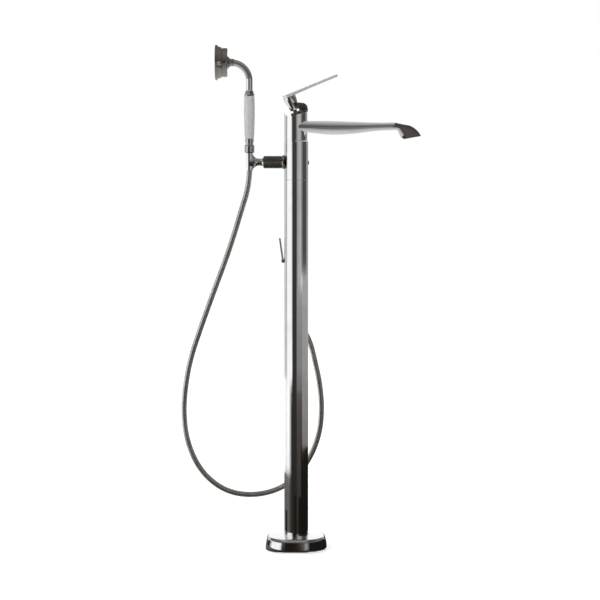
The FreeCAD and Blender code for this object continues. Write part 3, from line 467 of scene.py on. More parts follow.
slot_materials = {
    "polished_chrome": polished_chrome, "brass": turned_brass, "copper_pipe": drawn_copper,
    "stainless_steel": stainless_steel, "cast_flange": machined_flange,
    "spiral_hose": strip_wound_steel, "porcelain": shade_greyed_porcelain,
    "ceramic_plastic": moulded_acetal, "dark_rubber": moulded_rubber,
}


def coat(piece, material):
    """Gives a piece one material all over."""
    piece.data.materials.clear()
    piece.data.materials.append(material)
    return piece


# Hose: out of the cradle, down in a wide loop to the left, behind the column's foot, and up on its
# other side to the outlet

HOSE_DIAMETER = 0.011
HOSE_PITCH = 0.0026              # width of one turn of the strip
HOSE_GROOVE = 0.00045
HOSE_SIDES = 18
RINGS_PER_TURN = 5
SPLINE_ORDER = 3
SPLINE_STEPS = 12                # between two points of the route
ROUTE_STEP = 0.004               # between the points that describe the cord
hose_route = [
    (-0.0923, 0, 0.7585), (-0.0938, 0, 0.728), (-0.1075, 0.004, 0.684), (-0.1325, 0.008, 0.602),
    (-0.170, 0.015, 0.503), (-0.192, 0.019, 0.442), (-0.2115, 0.022, 0.385), (-0.223, 0.024, 0.328),
    (-0.2275, 0.026, 0.271), (-0.221, 0.028, 0.212), (-0.197, 0.030, 0.156), (-0.159, 0.033, 0.118),
    (-0.1165, 0.037, 0.101), (-0.0685, 0.040, 0.101), (-0.024, 0.042, 0.116), (0.010, 0.043, 0.148),
    (0.034, 0.0435, 0.187), (0.0485, 0.0435, 0.232), (0.052, 0.043, 0.281), (0.0475, 0.0425, 0.329),
    (0.038, 0.042, 0.373), (0.028, 0.0415, 0.414), (0.010, 0.0412, 0.446), (-0.009, 0.041, 0.4765),
    (-0.009, 0.041, 0.5179),
]


def hose_line():
    """The centre line of the hose, as one smooth spline."""
    curve = bpy.data.curves.new("hose_line", "CURVE")
    curve.dimensions = "3D"
    spline = curve.splines.new("NURBS")
    spline.points.add(len(hose_route) - 1)
    for point, place in zip(spline.points, hose_route):
        point.co = (*place, 1.0)
    spline.order_u = SPLINE_ORDER
    spline.use_endpoint_u = True
    spline.resolution_u = SPLINE_STEPS
    holder = bpy.data.objects.new("hose_line", curve)
    bpy.context.scene.collection.objects.link(holder)
    bpy.context.view_layer.update()
    points = line_of(holder)
    bpy.data.objects.remove(holder)
    return points


def strip_radius(run):
    """Each turn of the strip is crowned, with a groove where it laps the next."""
    across = (run / HOSE_PITCH) % 1.0
    crown = 1 - (2 * across - 1) ** 4
    return HOSE_DIAMETER / 2 - HOSE_GROOVE * (1 - crown)


line = hose_line()
rings = sweep_rings(evenly(line, HOSE_PITCH / RINGS_PER_TURN), strip_radius, HOSE_SIDES)
hose = lofted("shower_hose_strip", rings, Matrix(), None, "spiral_hose", "shower_hose")
coat(hose, strip_wound_steel)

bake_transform(hose)
[tuple(p) for p in evenly(line, ROUTE_STEP)]


# Places taken from the frame, in millimetres

X = 0
Z = 2


def reach(node, axis):
    """Where a node of the frame starts and ends along an axis."""
    low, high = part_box(node)
    return low[axis] / MM, high[axis] / MM


def middle(node, axis):
    """The place half way between a node's start and end along an axis."""
    return sum(reach(node, axis)) / 2


HANDSET_X = middle("porcelain_grip", X)
HEAD_Z = middle("spray_plate", Z)
ARM_Z = middle("arm_neck", Z)
lever_turn = next(joint for joint in frame["joints"] if joint["name"] == "lever_temperature")
LEVER_ORIGIN = tuple(v / MM for v in lever_turn["pos_m"])

IN_PLACE = Matrix.Scale(MM, 4)   # for pieces drawn where they stand
column_axis = aimed((0, 0, 0), UP)
handset_axis = aimed((HANDSET_X, 0, 0), UP)
head_axis = aimed((HANDSET_X, 0, HEAD_Z), LEFT)
arm_axis = aimed((0, 0, ARM_Z), LEFT)
lever_axis = aimed(LEVER_ORIGIN, lever_turn["axis"])


def along_head(node):
    """Where a piece of the head starts and ends, measured from the handset's upright axis."""
    low, high = reach(node, X)
    return HANDSET_X - high, HANDSET_X - low


# Column

COLUMN_RADIUS = 24.0
COLUMN_BORE = 22.0
SEAM_CHAMFER = 0.5


def lower_column():
    foot, seam = reach("column_tube", Z)
    steps = [(COLUMN_BORE, foot), (COLUMN_RADIUS, foot), (COLUMN_RADIUS, seam - SEAM_CHAMFER),
             (COLUMN_RADIUS - SEAM_CHAMFER, seam), (COLUMN_BORE, seam)]
    column = turned("lower_column", steps, column_axis, "column", "polished_chrome", "column_tube",
                    round_width=0.15, sides=160)
    coat(column, polished_chrome)


lower_column()


# Base cover: a rounded square whose sides bulge a little and roll over into a shallow crown

COVER_HALF = 61.4
COVER_FLAT = 15.0                # half of each side's straight run, the same at every height
COVER_PROFILE = [                # half of its side and the height, up the wall and over to the crown
    (59.9, 0), (60.96, 0.44, COVER_HALF, 1.5), (60.5, 11, 58.2, 20), (56.3, 24.0, 51.5, 26.8),
]
COVER_TOP = 30.0
COVER_CROWN = 415.0              # radius of the crown's curve
COVER_HOLE = 24.3
COVER_NECK = 29.0
COVER_NECK_DROP = 3.0            # how far the neck round the column reaches below the roof
COVER_ROOF = 22.0
COVER_ROOF_SETBACK = 4.0         # how far the inner side leans in from the floor to the roof
COVER_WALL = 4.0
COVER_EDGE_ANGLE = 40            # degrees, so that the turn into the crown isn't taken for an edge
CORNER_STEPS = 20
SIDE_STEPS = 5
CROWN_RINGS = 8


def crown(x, y):
    """The crown's height over a place in the plan."""
    return COVER_TOP - (x * x + y * y) / (2 * COVER_CROWN)


def cover_ring(half, height, corner=None):
    """A ring round the cover at a height, or at the crown's. Its sides are straight for as long as the
    wall's are, unless its corner's radius is given."""
    if corner is None:
        corner = half - COVER_FLAT
    points = rounded_rectangle(half, half, corner, CORNER_STEPS, (SIDE_STEPS, SIDE_STEPS))
    return [(x, y, height(x, y) if callable(height) else height) for x, y in points]


def crowned_cover():
    wall = outline(COVER_PROFILE)
    rings = [cover_ring(half, z) for half, z in wall]
    rim = wall[-1][0]
    rim_corner = rim - COVER_FLAT
    for k in range(1, CROWN_RINGS + 1):
        share = k / CROWN_RINGS
        half = rim + (COVER_HOLE - rim) * share
        corner = rim_corner + (COVER_HOLE - rim_corner) * share
        rings.append(cover_ring(half, crown, corner))
    rings.append(cover_ring(COVER_HOLE, COVER_ROOF - COVER_NECK_DROP, COVER_HOLE))
    rings.append(cover_ring(COVER_NECK, COVER_ROOF - COVER_NECK_DROP, COVER_NECK))
    rings.append(cover_ring(COVER_NECK, COVER_ROOF, COVER_NECK))
    rings.append(cover_ring(COVER_HALF - COVER_WALL - COVER_ROOF_SETBACK, COVER_ROOF))
    rings.append(cover_ring(COVER_HALF - COVER_WALL, 0))
    cover = lofted("crowned_base_cover", rings + rings[:1], IN_PLACE, "column", "polished_chrome",
                   "base_cover", capped=False)
    coat(soften(cover, 0.3, COVER_EDGE_ANGLE), polished_chrome)


crowned_cover()


# Spout: a blade with rounded flanks that turns down into a hood. A station holds its top line's x and
# rise, its belly's x and rise, half its width and the radius of its flanks.

SPOUT_Z = middle("spout_shank", Z)
HOUSING_RADIUS = 21.8            # inside the wall that the blade grows out of
HOUSING_X = -0.7                 # that round wall's middle
BLADE_ROOT = 28.0                # x up to which the blade follows the round housing
BLEND_STEPS = 8                  # from one station to the next
FLANK_STEPS = 12
LEVEL_STEPS = 5
MOUTH_LIP = 3.0
MOUTH_RECESS = 3.6
BLADE_STATIONS = [
    (9.0, 12.0, 9.0, -10.0, 22.5, 10.6), (28.0, 12.0, 28.0, -11.4, 22.0, 11.3),
    (67.0, 12.0, 67.0, -15.2, 21.0, 13.1), (110.5, 10.5, 110.5, -13.5, 20.0, 11.6),
    (154.0, 9.0, 154.0, -8.2, 19.3, 8.3), (193.5, 9.0, 193.5, -5.8, 19.0, 7.1),
]
HOOD_STATIONS = [
    (193.5, 9.0, 193.5, -5.8, 19.0, 7.1), (209.5, 5.6, 199.0, -6.8, 19.0, 7.8),
    (226.3, 2.0, 202.5, -13.5, 18.8, 9.5), (239.5, -7.5, 205.5, -19.5, 18.3, 10.5),
    (246.5, -17.5, 210.0, -24.0, 17.8, 12.0),
]


def smooth_value(before, start, end, after, t):
    """A value on the smooth curve from start to end, a share t of the way, by its two neighbours."""
    slope = end - before
    bend = 2 * before - 5 * start + 4 * end - after
    twist = 3 * start - before - 3 * end + after
    return 0.5 * (2 * start + slope * t + bend * t ** 2 + twist * t ** 3)


def between(stations):
    """Stations with smooth ones added between them."""
    padded = stations[:1] + stations + stations[-1:]
    made = []
    for four in zip(padded, padded[1:], padded[2:], padded[3:]):
        for s in range(BLEND_STEPS):
            made.append([smooth_value(*values, s / BLEND_STEPS) for values in zip(*four)])
    return made + stations[-1:]


def spout_ring(station, inset=0.0, deeper=0.0):
    """The spout's section at a station, drawn in from its edge and moved up into the mouth."""
    top_x, top_rise, belly_x, belly_rise, half_width, corner = station
    top = Vector((top_x, 0, SPOUT_Z + top_rise))
    belly = Vector((belly_x, 0, SPOUT_Z + belly_rise))
    centre = (top + belly) / 2
    rise = (top - belly).normalized()
    inward = Vector((-rise.z, 0, rise.x))
    half_height = (top - belly).length / 2 - inset
    section = rounded_rectangle(half_width - inset, half_height, corner - inset,
                                FLANK_STEPS, (LEVEL_STEPS, 1))
    return [centre + BACK * across + rise * up + inward * deeper for across, up in section]


def follow_housing(point, nominal_x):
    """Moves a point near the blade's root so that the blade grows out of the round housing."""
    blade_start = BLADE_STATIONS[0][0]
    share = (nominal_x - blade_start) / (BLADE_ROOT - blade_start)
    wall = HOUSING_X + math.sqrt(max(0.0, HOUSING_RADIUS ** 2 - point.y ** 2))
    return Vector((wall + (BLADE_ROOT - wall) * share, point.y, point.z))


def bladed_spout():
    rings = []
    for station in between(BLADE_STATIONS):
        ring = spout_ring(station)
        if station[0] < BLADE_ROOT:
            ring = [follow_housing(p, station[0]) for p in ring]
        rings.append(ring)
    rings += [spout_ring(station) for station in between(HOOD_STATIONS)[1:]]
    mouth = HOOD_STATIONS[-1]
    rings += [spout_ring(mouth, MOUTH_LIP), spout_ring(mouth, MOUTH_LIP, MOUTH_RECESS)]
    spout = lofted("bladed_spout", rings, IN_PLACE, "column", "polished_chrome", "spout_body")
    coat(soften(spout, 0.5), polished_chrome)


bladed_spout()


# Lever

HUB_FOOT_RADIUS = 8.2
HUB_WAIST_RADIUS = 11.3
HUB_RADIUS = 12.5
HUB_FOOT = 8.0                   # along the lever's axis, as the next three
HUB_WAIST = 21.0
HUB_SHOULDER = 31.0
HUB_TOP = 36.0
HUB_FOOT_CHAMFER = 1.0
STEM_BORE = 4.1
STEM_TOP = 30.0


def tapered_hub():
    steps = [(STEM_BORE, HUB_FOOT), (HUB_FOOT_RADIUS - HUB_FOOT_CHAMFER, HUB_FOOT),
             (HUB_FOOT_RADIUS, HUB_FOOT + HUB_FOOT_CHAMFER),
             (HUB_WAIST_RADIUS, HUB_WAIST, HUB_RADIUS, HUB_SHOULDER), (HUB_RADIUS, HUB_TOP),
             (0, HUB_TOP), (0, STEM_TOP), (STEM_BORE, STEM_TOP)]
    hub = turned("tapered_lever_hub", steps, lever_axis, "mixer_lever", "polished_chrome", "lever_hub",
                 round_width=0.5)
    coat(hub, polished_chrome)


tapered_hub()


# Arm

ARM_BORE = 4.1
ARM_RADIUS = 12.5
ARM_START = 24.2                 # distances along the arm are from the column's axis
ARM_END = 65.2
FLARE_RADIUS = 14.0
FLARE_END = 26.7
FLARE_EDGE = 1.0
RIBS_START = 29.7
RIB_PITCH = 2.1
RIB_DEPTH = 0.8
RIB_COUNT = 15
LAST_RIB_RISE = 0.4
SHOULDER = 3.5
SOCKET_RADIUS = 7.05             # the hole that the neck's end sits in
SOCKET_DEPTH = 8.0


def ribbed_sleeve():
    steps = [(ARM_BORE, ARM_START), (FLARE_RADIUS, ARM_START), (FLARE_RADIUS, FLARE_END - FLARE_EDGE),
             (ARM_RADIUS, FLARE_END + FLARE_EDGE), (ARM_RADIUS - RIB_DEPTH, RIBS_START)]
    for rib in range(RIB_COUNT):
        start = RIBS_START + rib * RIB_PITCH
        end = start + RIB_PITCH
        steps.append((ARM_RADIUS, (start + end) / 2, ARM_RADIUS - RIB_DEPTH, end))
    bow = SHOULDER * math.sqrt(0.5)
    steps += [(ARM_RADIUS, RIBS_START + RIB_COUNT * RIB_PITCH + LAST_RIB_RISE),
              (ARM_RADIUS, ARM_END - SHOULDER),
              (ARM_RADIUS - SHOULDER + bow, ARM_END - SHOULDER + bow, ARM_RADIUS - SHOULDER, ARM_END),
              (SOCKET_RADIUS, ARM_END), (SOCKET_RADIUS, ARM_END - SOCKET_DEPTH),
              (ARM_BORE, ARM_END - SOCKET_DEPTH)]
    sleeve = turned("ribbed_arm_sleeve", steps, arm_axis, "column", "polished_chrome", "arm_sleeve",
                    round_width=0.2)
    coat(sleeve, shade_darkened_sleeve_chrome(ARM_Z, ARM_RADIUS - RIB_DEPTH, ARM_RADIUS))


ribbed_sleeve()


# Handset: each piece's radii first, from its start to its end

GRIP_BORE = 6.6
GRIP_START = 8.2
GRIP_FOOT = 9.0
GRIP_BELLY = 10.7
GRIP_SHOULDER = 10.25
GRIP_END = 9.45
GRIP_BELLY_SHARE = 0.6           # how far up its length the belly is
GRIP_EDGE = 0.8

FERRULE_START = 9.25
FERRULE_BEAD = 10.0
FERRULE_WAIST = 8.6
FERRULE_NECK = 8.25
FERRULE_END = 7.25
BEAD_WIDTH = 4.0
WAIST_DROP = 0.6
FERRULE_EDGE = 1.5

COLLAR_BORE = 5.0
COLLAR_EDGE = 7.75
COLLAR_RADIUS = 9.75
COLLAR_ROUND = 2.0
COLLAR_BOW = 0.59                # how far the middle of that round lies inside its corner
COLLAR_BOW_RISE = 0.6


def handset_piece(name, steps, axis, node, finish, round_width, slot="polished_chrome"):
    """A turned piece of the handset in its finish, in place of its node."""
    coat(turned(name, steps, axis, "handset", slot, node, round_width=round_width), finish)


def swelling_grip():
    low, high = reach("porcelain_grip", Z)
    belly = low + GRIP_BELLY_SHARE * (high - low)
    steps = [(GRIP_BORE, low), (GRIP_START, low), (GRIP_FOOT, low + GRIP_EDGE),
             (GRIP_BELLY, belly, GRIP_SHOULDER, high - GRIP_EDGE), (GRIP_END, high), (GRIP_BORE, high)]
    handset_piece("glazed_grip", steps, handset_axis, "porcelain_grip", shade_greyed_porcelain, 0.6,
                  slot="porcelain")


def beaded_ferrule():
    low, high = reach("upper_ferrule", Z)
    bead_end = low + BEAD_WIDTH
    steps = [(GRIP_BORE, low), (FERRULE_START, low),
             (FERRULE_BEAD, low + BEAD_WIDTH / 2, FERRULE_START, bead_end),
             (FERRULE_WAIST, bead_end + WAIST_DROP), (FERRULE_NECK, high - FERRULE_EDGE),
             (FERRULE_END, high), (GRIP_BORE, high)]
    handset_piece("beaded_upper_ferrule", steps, handset_axis, "upper_ferrule", shade_darkened_chrome, 0.25)


def rounded_collar():
    low, high = reach("lower_collar", Z)
    middle_radius = COLLAR_RADIUS - COLLAR_BOW
    steps = [(COLLAR_BORE, low), (COLLAR_EDGE, low),
             (middle_radius, low + COLLAR_BOW_RISE, COLLAR_RADIUS, low + COLLAR_ROUND),
             (COLLAR_RADIUS, high - COLLAR_ROUND),
             (middle_radius, high - COLLAR_BOW_RISE, COLLAR_EDGE, high), (COLLAR_BORE, high)]
    handset_piece("rounded_collar", steps, handset_axis, "lower_collar", shade_darkened_chrome, 0.2)


# The grip's grey and the ferrule's and collar's darker chrome are painted shade
swelling_grip()
beaded_ferrule()
rounded_collar()


# Head of the handset: each piece is turned about the head's axis, from the handset towards the spray

HEAD_BORE = 6.6
WATERWAY = 5.0
RING_RADIUS = 28.4
RING_ROUND = 3.0
RING_BOW = 0.9                   # how far the middle of that round lies inside its corner
RING_LEDGE = 1.0                 # the step at its front edge
NECK_SEAT = 45.1                 # where the neck ends in the ring

CONE_BORE = 6.5
CONE_BACK = 28.9                 # radii of the cone, from its back edge to its front edge
CONE_START = 29.5
CONE_END = 31.9
CONE_FRONT = 32.3
CONE_BACK_EDGE = 0.8
CONE_FRONT_EDGE = 1.2
CONE_WALL = 2.5
CONE_CORNER = 26.8               # where its wall meets its back inside

RIM_BORE = 30.3
RIM_RADIUS = 34.7
RIM_ROUND = 1.5
RIM_BOW = 0.4

PLATE_RADIUS = 30.2
PLATE_CHAMFER = 0.5
GROOVE_OUTER = 26.0              # the groove round the nozzles, at the plate's face
GROOVE_INNER = 24.6
GROOVE_DEPTH = 0.4

BOSS_START = 7.0                 # radii of the boss, from the neck to the ring
BOSS_FOOT = 7.4
BOSS_WAIST = 8.6
BOSS_SHOULDER = 11.0
BOSS_END = 13.0
BOSS_FOOT_LENGTH = 3.0
BOSS_WAIST_AT = 9.0
BOSS_LIP = 2.0


def head_ring():
    start, end = along_head("shower_ring")
    ledge = RING_RADIUS - RING_LEDGE
    steps = [(HEAD_BORE, start), (RING_RADIUS - RING_ROUND, start),
             (RING_RADIUS - RING_BOW, start + RING_BOW, RING_RADIUS, start + RING_ROUND),
             (RING_RADIUS, end - RING_LEDGE), (ledge, end - RING_LEDGE), (ledge, end), (WATERWAY, end),
             (WATERWAY, NECK_SEAT), (HEAD_BORE, NECK_SEAT)]
    handset_piece("head_ring", steps, head_axis, "shower_ring", shade_darkened_chrome, 0.3)


def head_cone():
    start, end = along_head("shower_shell")
    steps = [(CONE_BORE, start), (CONE_BACK, start), (CONE_START, start + CONE_BACK_EDGE),
             (CONE_END, end - CONE_FRONT_EDGE), (CONE_FRONT, end), (CONE_FRONT - CONE_WALL, end),
             (CONE_CORNER, start + CONE_WALL), (CONE_BORE, start + CONE_WALL)]
    handset_piece("head_cone", steps, head_axis, "shower_shell", shade_darkened_chrome, 0.3)


def head_rim():
    start, end = along_head("shower_rim")
    edge = RIM_RADIUS - RIM_ROUND
    steps = [(RIM_BORE, start), (edge, start),
             (RIM_RADIUS - RIM_BOW, start + RIM_BOW, RIM_RADIUS, start + RIM_ROUND),
             (RIM_RADIUS, end - RIM_ROUND), (RIM_RADIUS - RIM_BOW, end - RIM_BOW, edge, end),
             (RIM_BORE, end)]
    handset_piece("head_rim", steps, head_axis, "shower_rim", shade_darkened_chrome, 0.25)


def spray_face():
    start, end = along_head("spray_plate")
    floor = end - GROOVE_DEPTH
    steps = [(0, start), (PLATE_RADIUS, start), (PLATE_RADIUS, end - PLATE_CHAMFER),
             (PLATE_RADIUS - PLATE_CHAMFER, end), (GROOVE_OUTER, end),
             (GROOVE_OUTER - GROOVE_DEPTH, floor), (GROOVE_INNER + GROOVE_DEPTH, floor),
             (GROOVE_INNER, end), (0, end)]
    handset_piece("spray_face", steps, head_axis, "spray_plate", polished_chrome, 0.15)


def tapered_boss():
    start, end = along_head("head_boss")
    steps = [(0, start), (BOSS_START, start), (BOSS_FOOT, start + BOSS_FOOT_LENGTH),
             (BOSS_WAIST, start + BOSS_WAIST_AT, BOSS_SHOULDER, end - BOSS_LIP), (BOSS_END, end),
             (0, end)]
    handset_piece("tapered_boss", steps, head_axis, "head_boss", shade_darkened_chrome, 0.3)


# The ring, cone, rim and boss take the chrome darkened as painted shade
head_ring()
head_cone()
head_rim()
spray_face()
tapered_boss()


# Finishes of the frame's own pieces

slot_of = {part["node"]: part["material_slot"] for part in frame["record"]["subparts"]}
# The lower ferrule, the cap and the brass under the hub take darker colours as painted shade
special_finishes = {
    "spray_nozzles": silicone_nozzle, "lever_bar": buffed_chrome, "mixer_cap": shaded_chrome,
    "lower_ferrule": shade_darkened_chrome, "mixer_body": shaded_brass, "cartridge_body": shaded_brass,
    "cartridge_rotor": shaded_brass, "cartridge_nut": shaded_brass, "lever_stem": shaded_brass,
}
for name, node in nodes.items():
    coat(node, special_finishes.get(name, slot_materials[slot_of[name]]))

SEAM_WIDTH = 1e-6                # metres
CREASE_ANGLE = math.radians(26)


def smooth_shade(node):
    """Closes the seams between the frame's faces and shades its curves smoothly, up to its creases."""
    weld = node.modifiers.new("close seams", "WELD")
    weld.merge_threshold = SEAM_WIDTH
    creases = node.modifiers.new("creases", "EDGE_SPLIT")
    creases.split_angle = CREASE_ANGLE
    node.data.shade_smooth()


for node in nodes.values():
    smooth_shade(node)


# Stage: a floor, a white surround, and cards that the chrome mirrors

WHITE = srgb("#ffffff")
FLOOR_HALF = 14
FLOOR_NEAR = 0.35                # the floor's own light where the object stands, and far from it
FLOOR_FAR = 0.62
FLOOR_TURN = (0.5, 3.0)          # metres from the column over which it rises


def seen_directly(tree):
    """1 where the camera sees it, also in metal and through glass, and 0 where it only lights things."""
    rays = add_node(tree, "ShaderNodeLightPath")
    either = add_node(tree, "ShaderNodeMath", {"operation": "MAXIMUM"},
                      {0: rays.outputs["Is Camera Ray"], 1: rays.outputs["Is Glossy Ray"]})
    seen = add_node(tree, "ShaderNodeMath", {"operation": "MAXIMUM"},
                    {0: either.outputs[0], 1: rays.outputs["Is Transmission Ray"]})
    return seen.outputs[0]


def floor_material():
    """A matt pale floor. Where it is seen, it has some light of its own, and more of it further off,
    where it runs into the white surround."""
    material, tree = new_material("pale_floor")
    place = add_node(tree, "ShaderNodeTexCoord").outputs["Object"]
    away = add_node(tree, "ShaderNodeVectorMath", {"operation": "LENGTH"}, {0: place})
    own_light = spread(tree, away.outputs["Value"], FLOOR_NEAR, FLOOR_FAR, *FLOOR_TURN)
    power = add_node(tree, "ShaderNodeMath", {"operation": "MULTIPLY"},
                     {0: seen_directly(tree), 1: own_light})
    matt = add_node(tree, "ShaderNodeBsdfDiffuse", inputs={"Color": srgb("#dededd")})
    glow = add_node(tree, "ShaderNodeEmission", inputs={"Color": WHITE, "Strength": power.outputs[0]})
    both = add_node(tree, "ShaderNodeAddShader", inputs={0: matt.outputs[0], 1: glow.outputs[0]})
    add_node(tree, "ShaderNodeOutputMaterial", inputs={"Surface": both.outputs[0]})
    return material


def card_material():
    """Card that glows in the tone that its mesh carries, and is clear where that tone's alpha is."""
    material, tree = new_material("reflection_card")
    tone = add_node(tree, "ShaderNodeAttribute", {"attribute_name": "tone"})
    clear = add_node(tree, "ShaderNodeBsdfTransparent")
    glow = add_node(tree, "ShaderNodeEmission", inputs={"Color": tone.outputs["Color"]})
    mixed = add_node(tree, "ShaderNodeMixShader",
                     inputs={0: tone.outputs["Alpha"], 1: clear.outputs[0], 2: glow.outputs[0]})
    add_node(tree, "ShaderNodeOutputMaterial", inputs={"Surface": mixed.outputs[0]})
    return material


reflection_card = card_material()


def stage_piece(name, mesh, material):
    mesh.materials.append(material)
    piece = bpy.data.objects.new(name, mesh)
    bpy.context.scene.collection.objects.link(piece)
    return piece


floor_mesh = bpy.data.meshes.new("floor")
floor_mesh.from_pydata([(-FLOOR_HALF, -FLOOR_HALF, 0), (FLOOR_HALF, -FLOOR_HALF, 0),
                        (FLOOR_HALF, FLOOR_HALF, 0), (-FLOOR_HALF, FLOOR_HALF, 0)], [], [(0, 1, 2, 3)])
stage_piece("floor", floor_mesh, floor_material())

CARD_STEP = 3.0                  # degrees between a curved card's points
LEAST_CARD_STEPS = 3


def glowing_card(name, points, tones):
    """A card that only polished surfaces mirror. Its points go from edge to edge, step by step, and
    each has its tone and how solid it is."""
    faces = [(k, k + 2, k + 3, k + 1) for k in range(0, len(points) - 2, 2)]
    mesh = bpy.data.meshes.new(name)
    mesh.from_pydata(points, [], faces)
    mesh.attributes.new("tone", "FLOAT_COLOR", "POINT").data.foreach_set("color", tones)
    piece = stage_piece(name, mesh, reflection_card)
    piece.visible_camera = False
    piece.visible_diffuse = False
    piece.visible_shadow = False
    piece.visible_transmission = False
    piece.visible_volume_scatter = False


def card(name, turn, inner, outer, tones, fade=(4, 4), power=1.0):
    """A curved card round the column. Its two edges are circles, given as radius and height, with a
    tone each, which power brightens. It runs from one angle to another, from the camera's side
    towards the spout's, and fades out over some degrees at each end."""
    first, last = turn
    count = max(LEAST_CARD_STEPS, math.ceil((last - first) / CARD_STEP))
    points, tone = [], []
    for i in range(count + 1):
        degrees = first + (last - first) * i / count
        angle = math.radians(degrees)
        solid = min(1.0, (degrees - first) / fade[0], (last - degrees) / fade[1])
        for (radius, height), shade in zip((inner, outer), tones):
            points.append((radius * math.sin(angle), -radius * math.cos(angle), height))
            tone += [channel * power for channel in srgb(shade)[:3]] + [solid]
    glowing_card(name, points, tone)


def flat_card(name, across, profile):
    """A card with a straight run of x, and a profile of y, height and tone from front to back."""
    points = [(x, y, z) for y, z, _ in profile for x in across]
    tone = [channel for _, _, shade in profile for _ in across for channel in srgb(shade)]
    glowing_card(name, points, tone)


def level_card(name, across, height, profile):
    """A flat card at one height, with a profile of y and tone."""
    flat_card(name, across, [(y, height, shade) for y, shade in profile])


# Round the walls: the angles, the lower and the upper edge as radius and height, and their tones
card("grey_card_back_left", (-166, -96), (2.6, 0.003), (2.6, 1.6), ("#dcdcde", "#dcdcde"))
card("soft_box_left", (-102, -40), (2.4, 0.003), (2.4, 1.16), ("#ffffff", "#ffffff"), (8, 14), 1.25)
card("dark_card_right", (44, 118), (2.5, 0.36), (2.5, 1.45), ("#53504e", "#53504e"), (4, 8))
card("grey_card_back_right", (108, 166), (2.6, 0.003), (2.6, 1.5), ("#aaa8a6", "#aaa8a6"))
card("pale_card_right", (60, 166), (2.48, 0.003), (2.48, 0.37), ("#a29e9a", "#bcb9b6"))
card("pale_card_front_right", (0, 70), (2.3, 0.32), (2.3, 1.5), ("#c0bebc", "#c0bebc"), (18, 34))
card("grey_card_front_right", (0, 66), (2.3, 0.003), (2.3, 0.33), ("#868482", "#a6a4a2"), (10, 6))
card("dark_card_front", (-44, 26), (2.45, 0.003), (2.45, 1.6), ("#3a3634", "#4e4a48"), (10, 6))
card("white_card_back", (164, 196), (2.5, 0.003), (2.5, 1.2), ("#ffffff", "#ffffff"), (6, 6), 1.2)

# On the floor
card("grey_floor_left", (-180, -30), (0.05, 0.002), (0.85, 0.002), ("#6e6a66", "#6e6a66"), (4, 10))
card("dark_floor_front", (-78, 24), (0.05, 0.003), (2.5, 0.003), ("#2e2b28", "#38342f"), (32, 6))
card("grey_floor_front", (0, 66), (0.05, 0.004), (2.5, 0.004), ("#332e29", "#605c58"), (10, 6))
card("dark_floor_right", (44, 180), (0.05, 0.005), (1.2, 0.005), ("#1f1a15", "#1f1a15"))
card("pale_floor_right", (60, 180), (1.2, 0.004), (2.5, 0.004), ("#8a8580", "#a09b96"))

# Close to the foot
card("dark_foot_back_left", (-122, -84), (0.16, 0.004), (0.16, 0.05), ("#211c18", "#211c18"), (8, 14))
card("dark_foot_left", (-22, 4), (0.16, 0.004), (0.16, 0.085), ("#211c18", "#211c18"))
card("dark_foot_right", (14, 128), (0.16, 0.004), (0.16, 0.08), ("#1e1916", "#1e1916"), (14, 4))

# Overhead
card("ceiling_front", (-96, 96), (2.42, 1.15), (0.0, 2.3), ("#4a4643", "#9a9692"))
card("ceiling_back", (90, 270), (2.42, 1.15), (0.0, 2.31), ("#6d6965", "#8e8a86"))

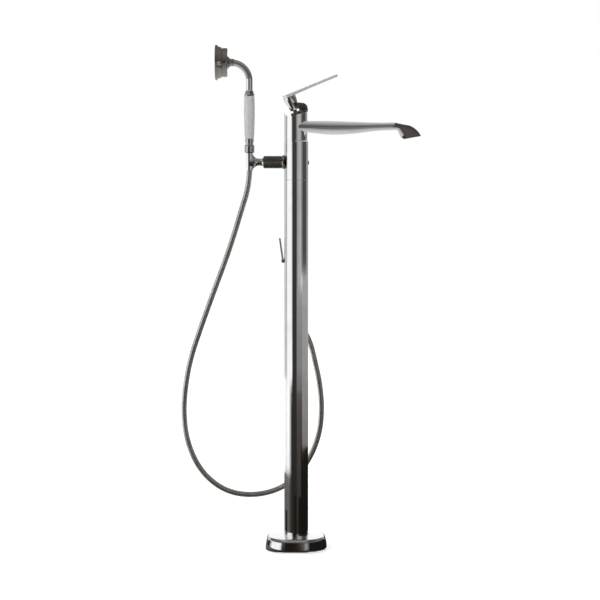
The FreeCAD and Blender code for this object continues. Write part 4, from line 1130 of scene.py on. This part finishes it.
# Close over and under the spout and under the head, where the column sees them nearly edge on
OVER_SPOUT = 0.876
UNDER_SPOUT = 0.816
UNDER_HEAD = 0.917
ALONG_SPOUT = (-0.005, 0.2)      # runs of x
ALONG_HEAD = (-0.32, -0.09)
level_card("card_over_spout", ALONG_SPOUT, OVER_SPOUT, [
    (-0.13, "#524e4c"), (-0.1, "#625e5b"), (-0.05, "#868380"), (-0.03, "#b0adaa"), (0.0, "#dcdad8"),
    (0.06, "#f0efee")])
level_card("card_under_spout", ALONG_SPOUT, UNDER_SPOUT, [
    (-0.13, "#6c6966"), (-0.1, "#8a8784"), (-0.05, "#bcbab8"), (-0.03, "#d6d4d2"), (0.0, "#ecebea"),
    (0.05, "#f8f8f8")])
level_card("card_under_head", ALONG_HEAD, UNDER_HEAD, [
    (-0.5, "#7c7a78"), (-0.12, "#8e8c8a"), (-0.05, "#b4b2b0"), (0.0, "#cccac8"), (0.3, "#d8d6d4")])

# Over the hood and upright in front of it
OVER_HOOD = 0.9
PAST_SPOUT = (0.2, 0.7)
ALONG_HOOD = (0.194, 0.32)
level_card("dark_card_over_hood", PAST_SPOUT, OVER_HOOD, [(-0.5, "#4a4644"), (0.5, "#4a4644")])
flat_card("dark_card_by_hood", ALONG_HOOD, [(-0.06, 0.79, "#5a5653"), (-0.06, 0.87, "#504c49")])


# Light

OBJECT_MIDDLE = Vector((0, 0, 0.5))
AMBIENT = 0.62


def soft_light(name, place, side, power):
    """A square soft box that shines at the object's middle and isn't mirrored in it."""
    data = bpy.data.lights.new(name, "AREA")
    data.size = side
    data.energy = power
    lamp = bpy.data.objects.new(name, data)
    lamp.location = place
    lamp.rotation_euler = (OBJECT_MIDDLE - Vector(place)).to_track_quat("-Z", "Y").to_euler()
    lamp.visible_glossy = False
    bpy.context.scene.collection.objects.link(lamp)


def white_surround():
    """A world that is white where it is seen, and lights the object a little less than that."""
    world = bpy.data.worlds.new("studio")
    bpy.context.scene.world = world
    world.use_nodes = True
    tree = world.node_tree
    tree.nodes.clear()
    power = spread(tree, seen_directly(tree), AMBIENT, 1.0, from_low=0, from_high=1)
    sky = add_node(tree, "ShaderNodeBackground", inputs={"Color": WHITE, "Strength": power})
    add_node(tree, "ShaderNodeOutputWorld", inputs={"Surface": sky.outputs[0]})


soft_light("key_left", (-2.2, -1.6, 2.2), side=1.6, power=46)
soft_light("fill_right", (2.2, -1.8, 1.8), side=1.6, power=16)
soft_light("top", (0, 0.3, 3.0), side=2.4, power=34)
white_surround()

bpy.context.scene.view_settings.view_transform = "Standard"
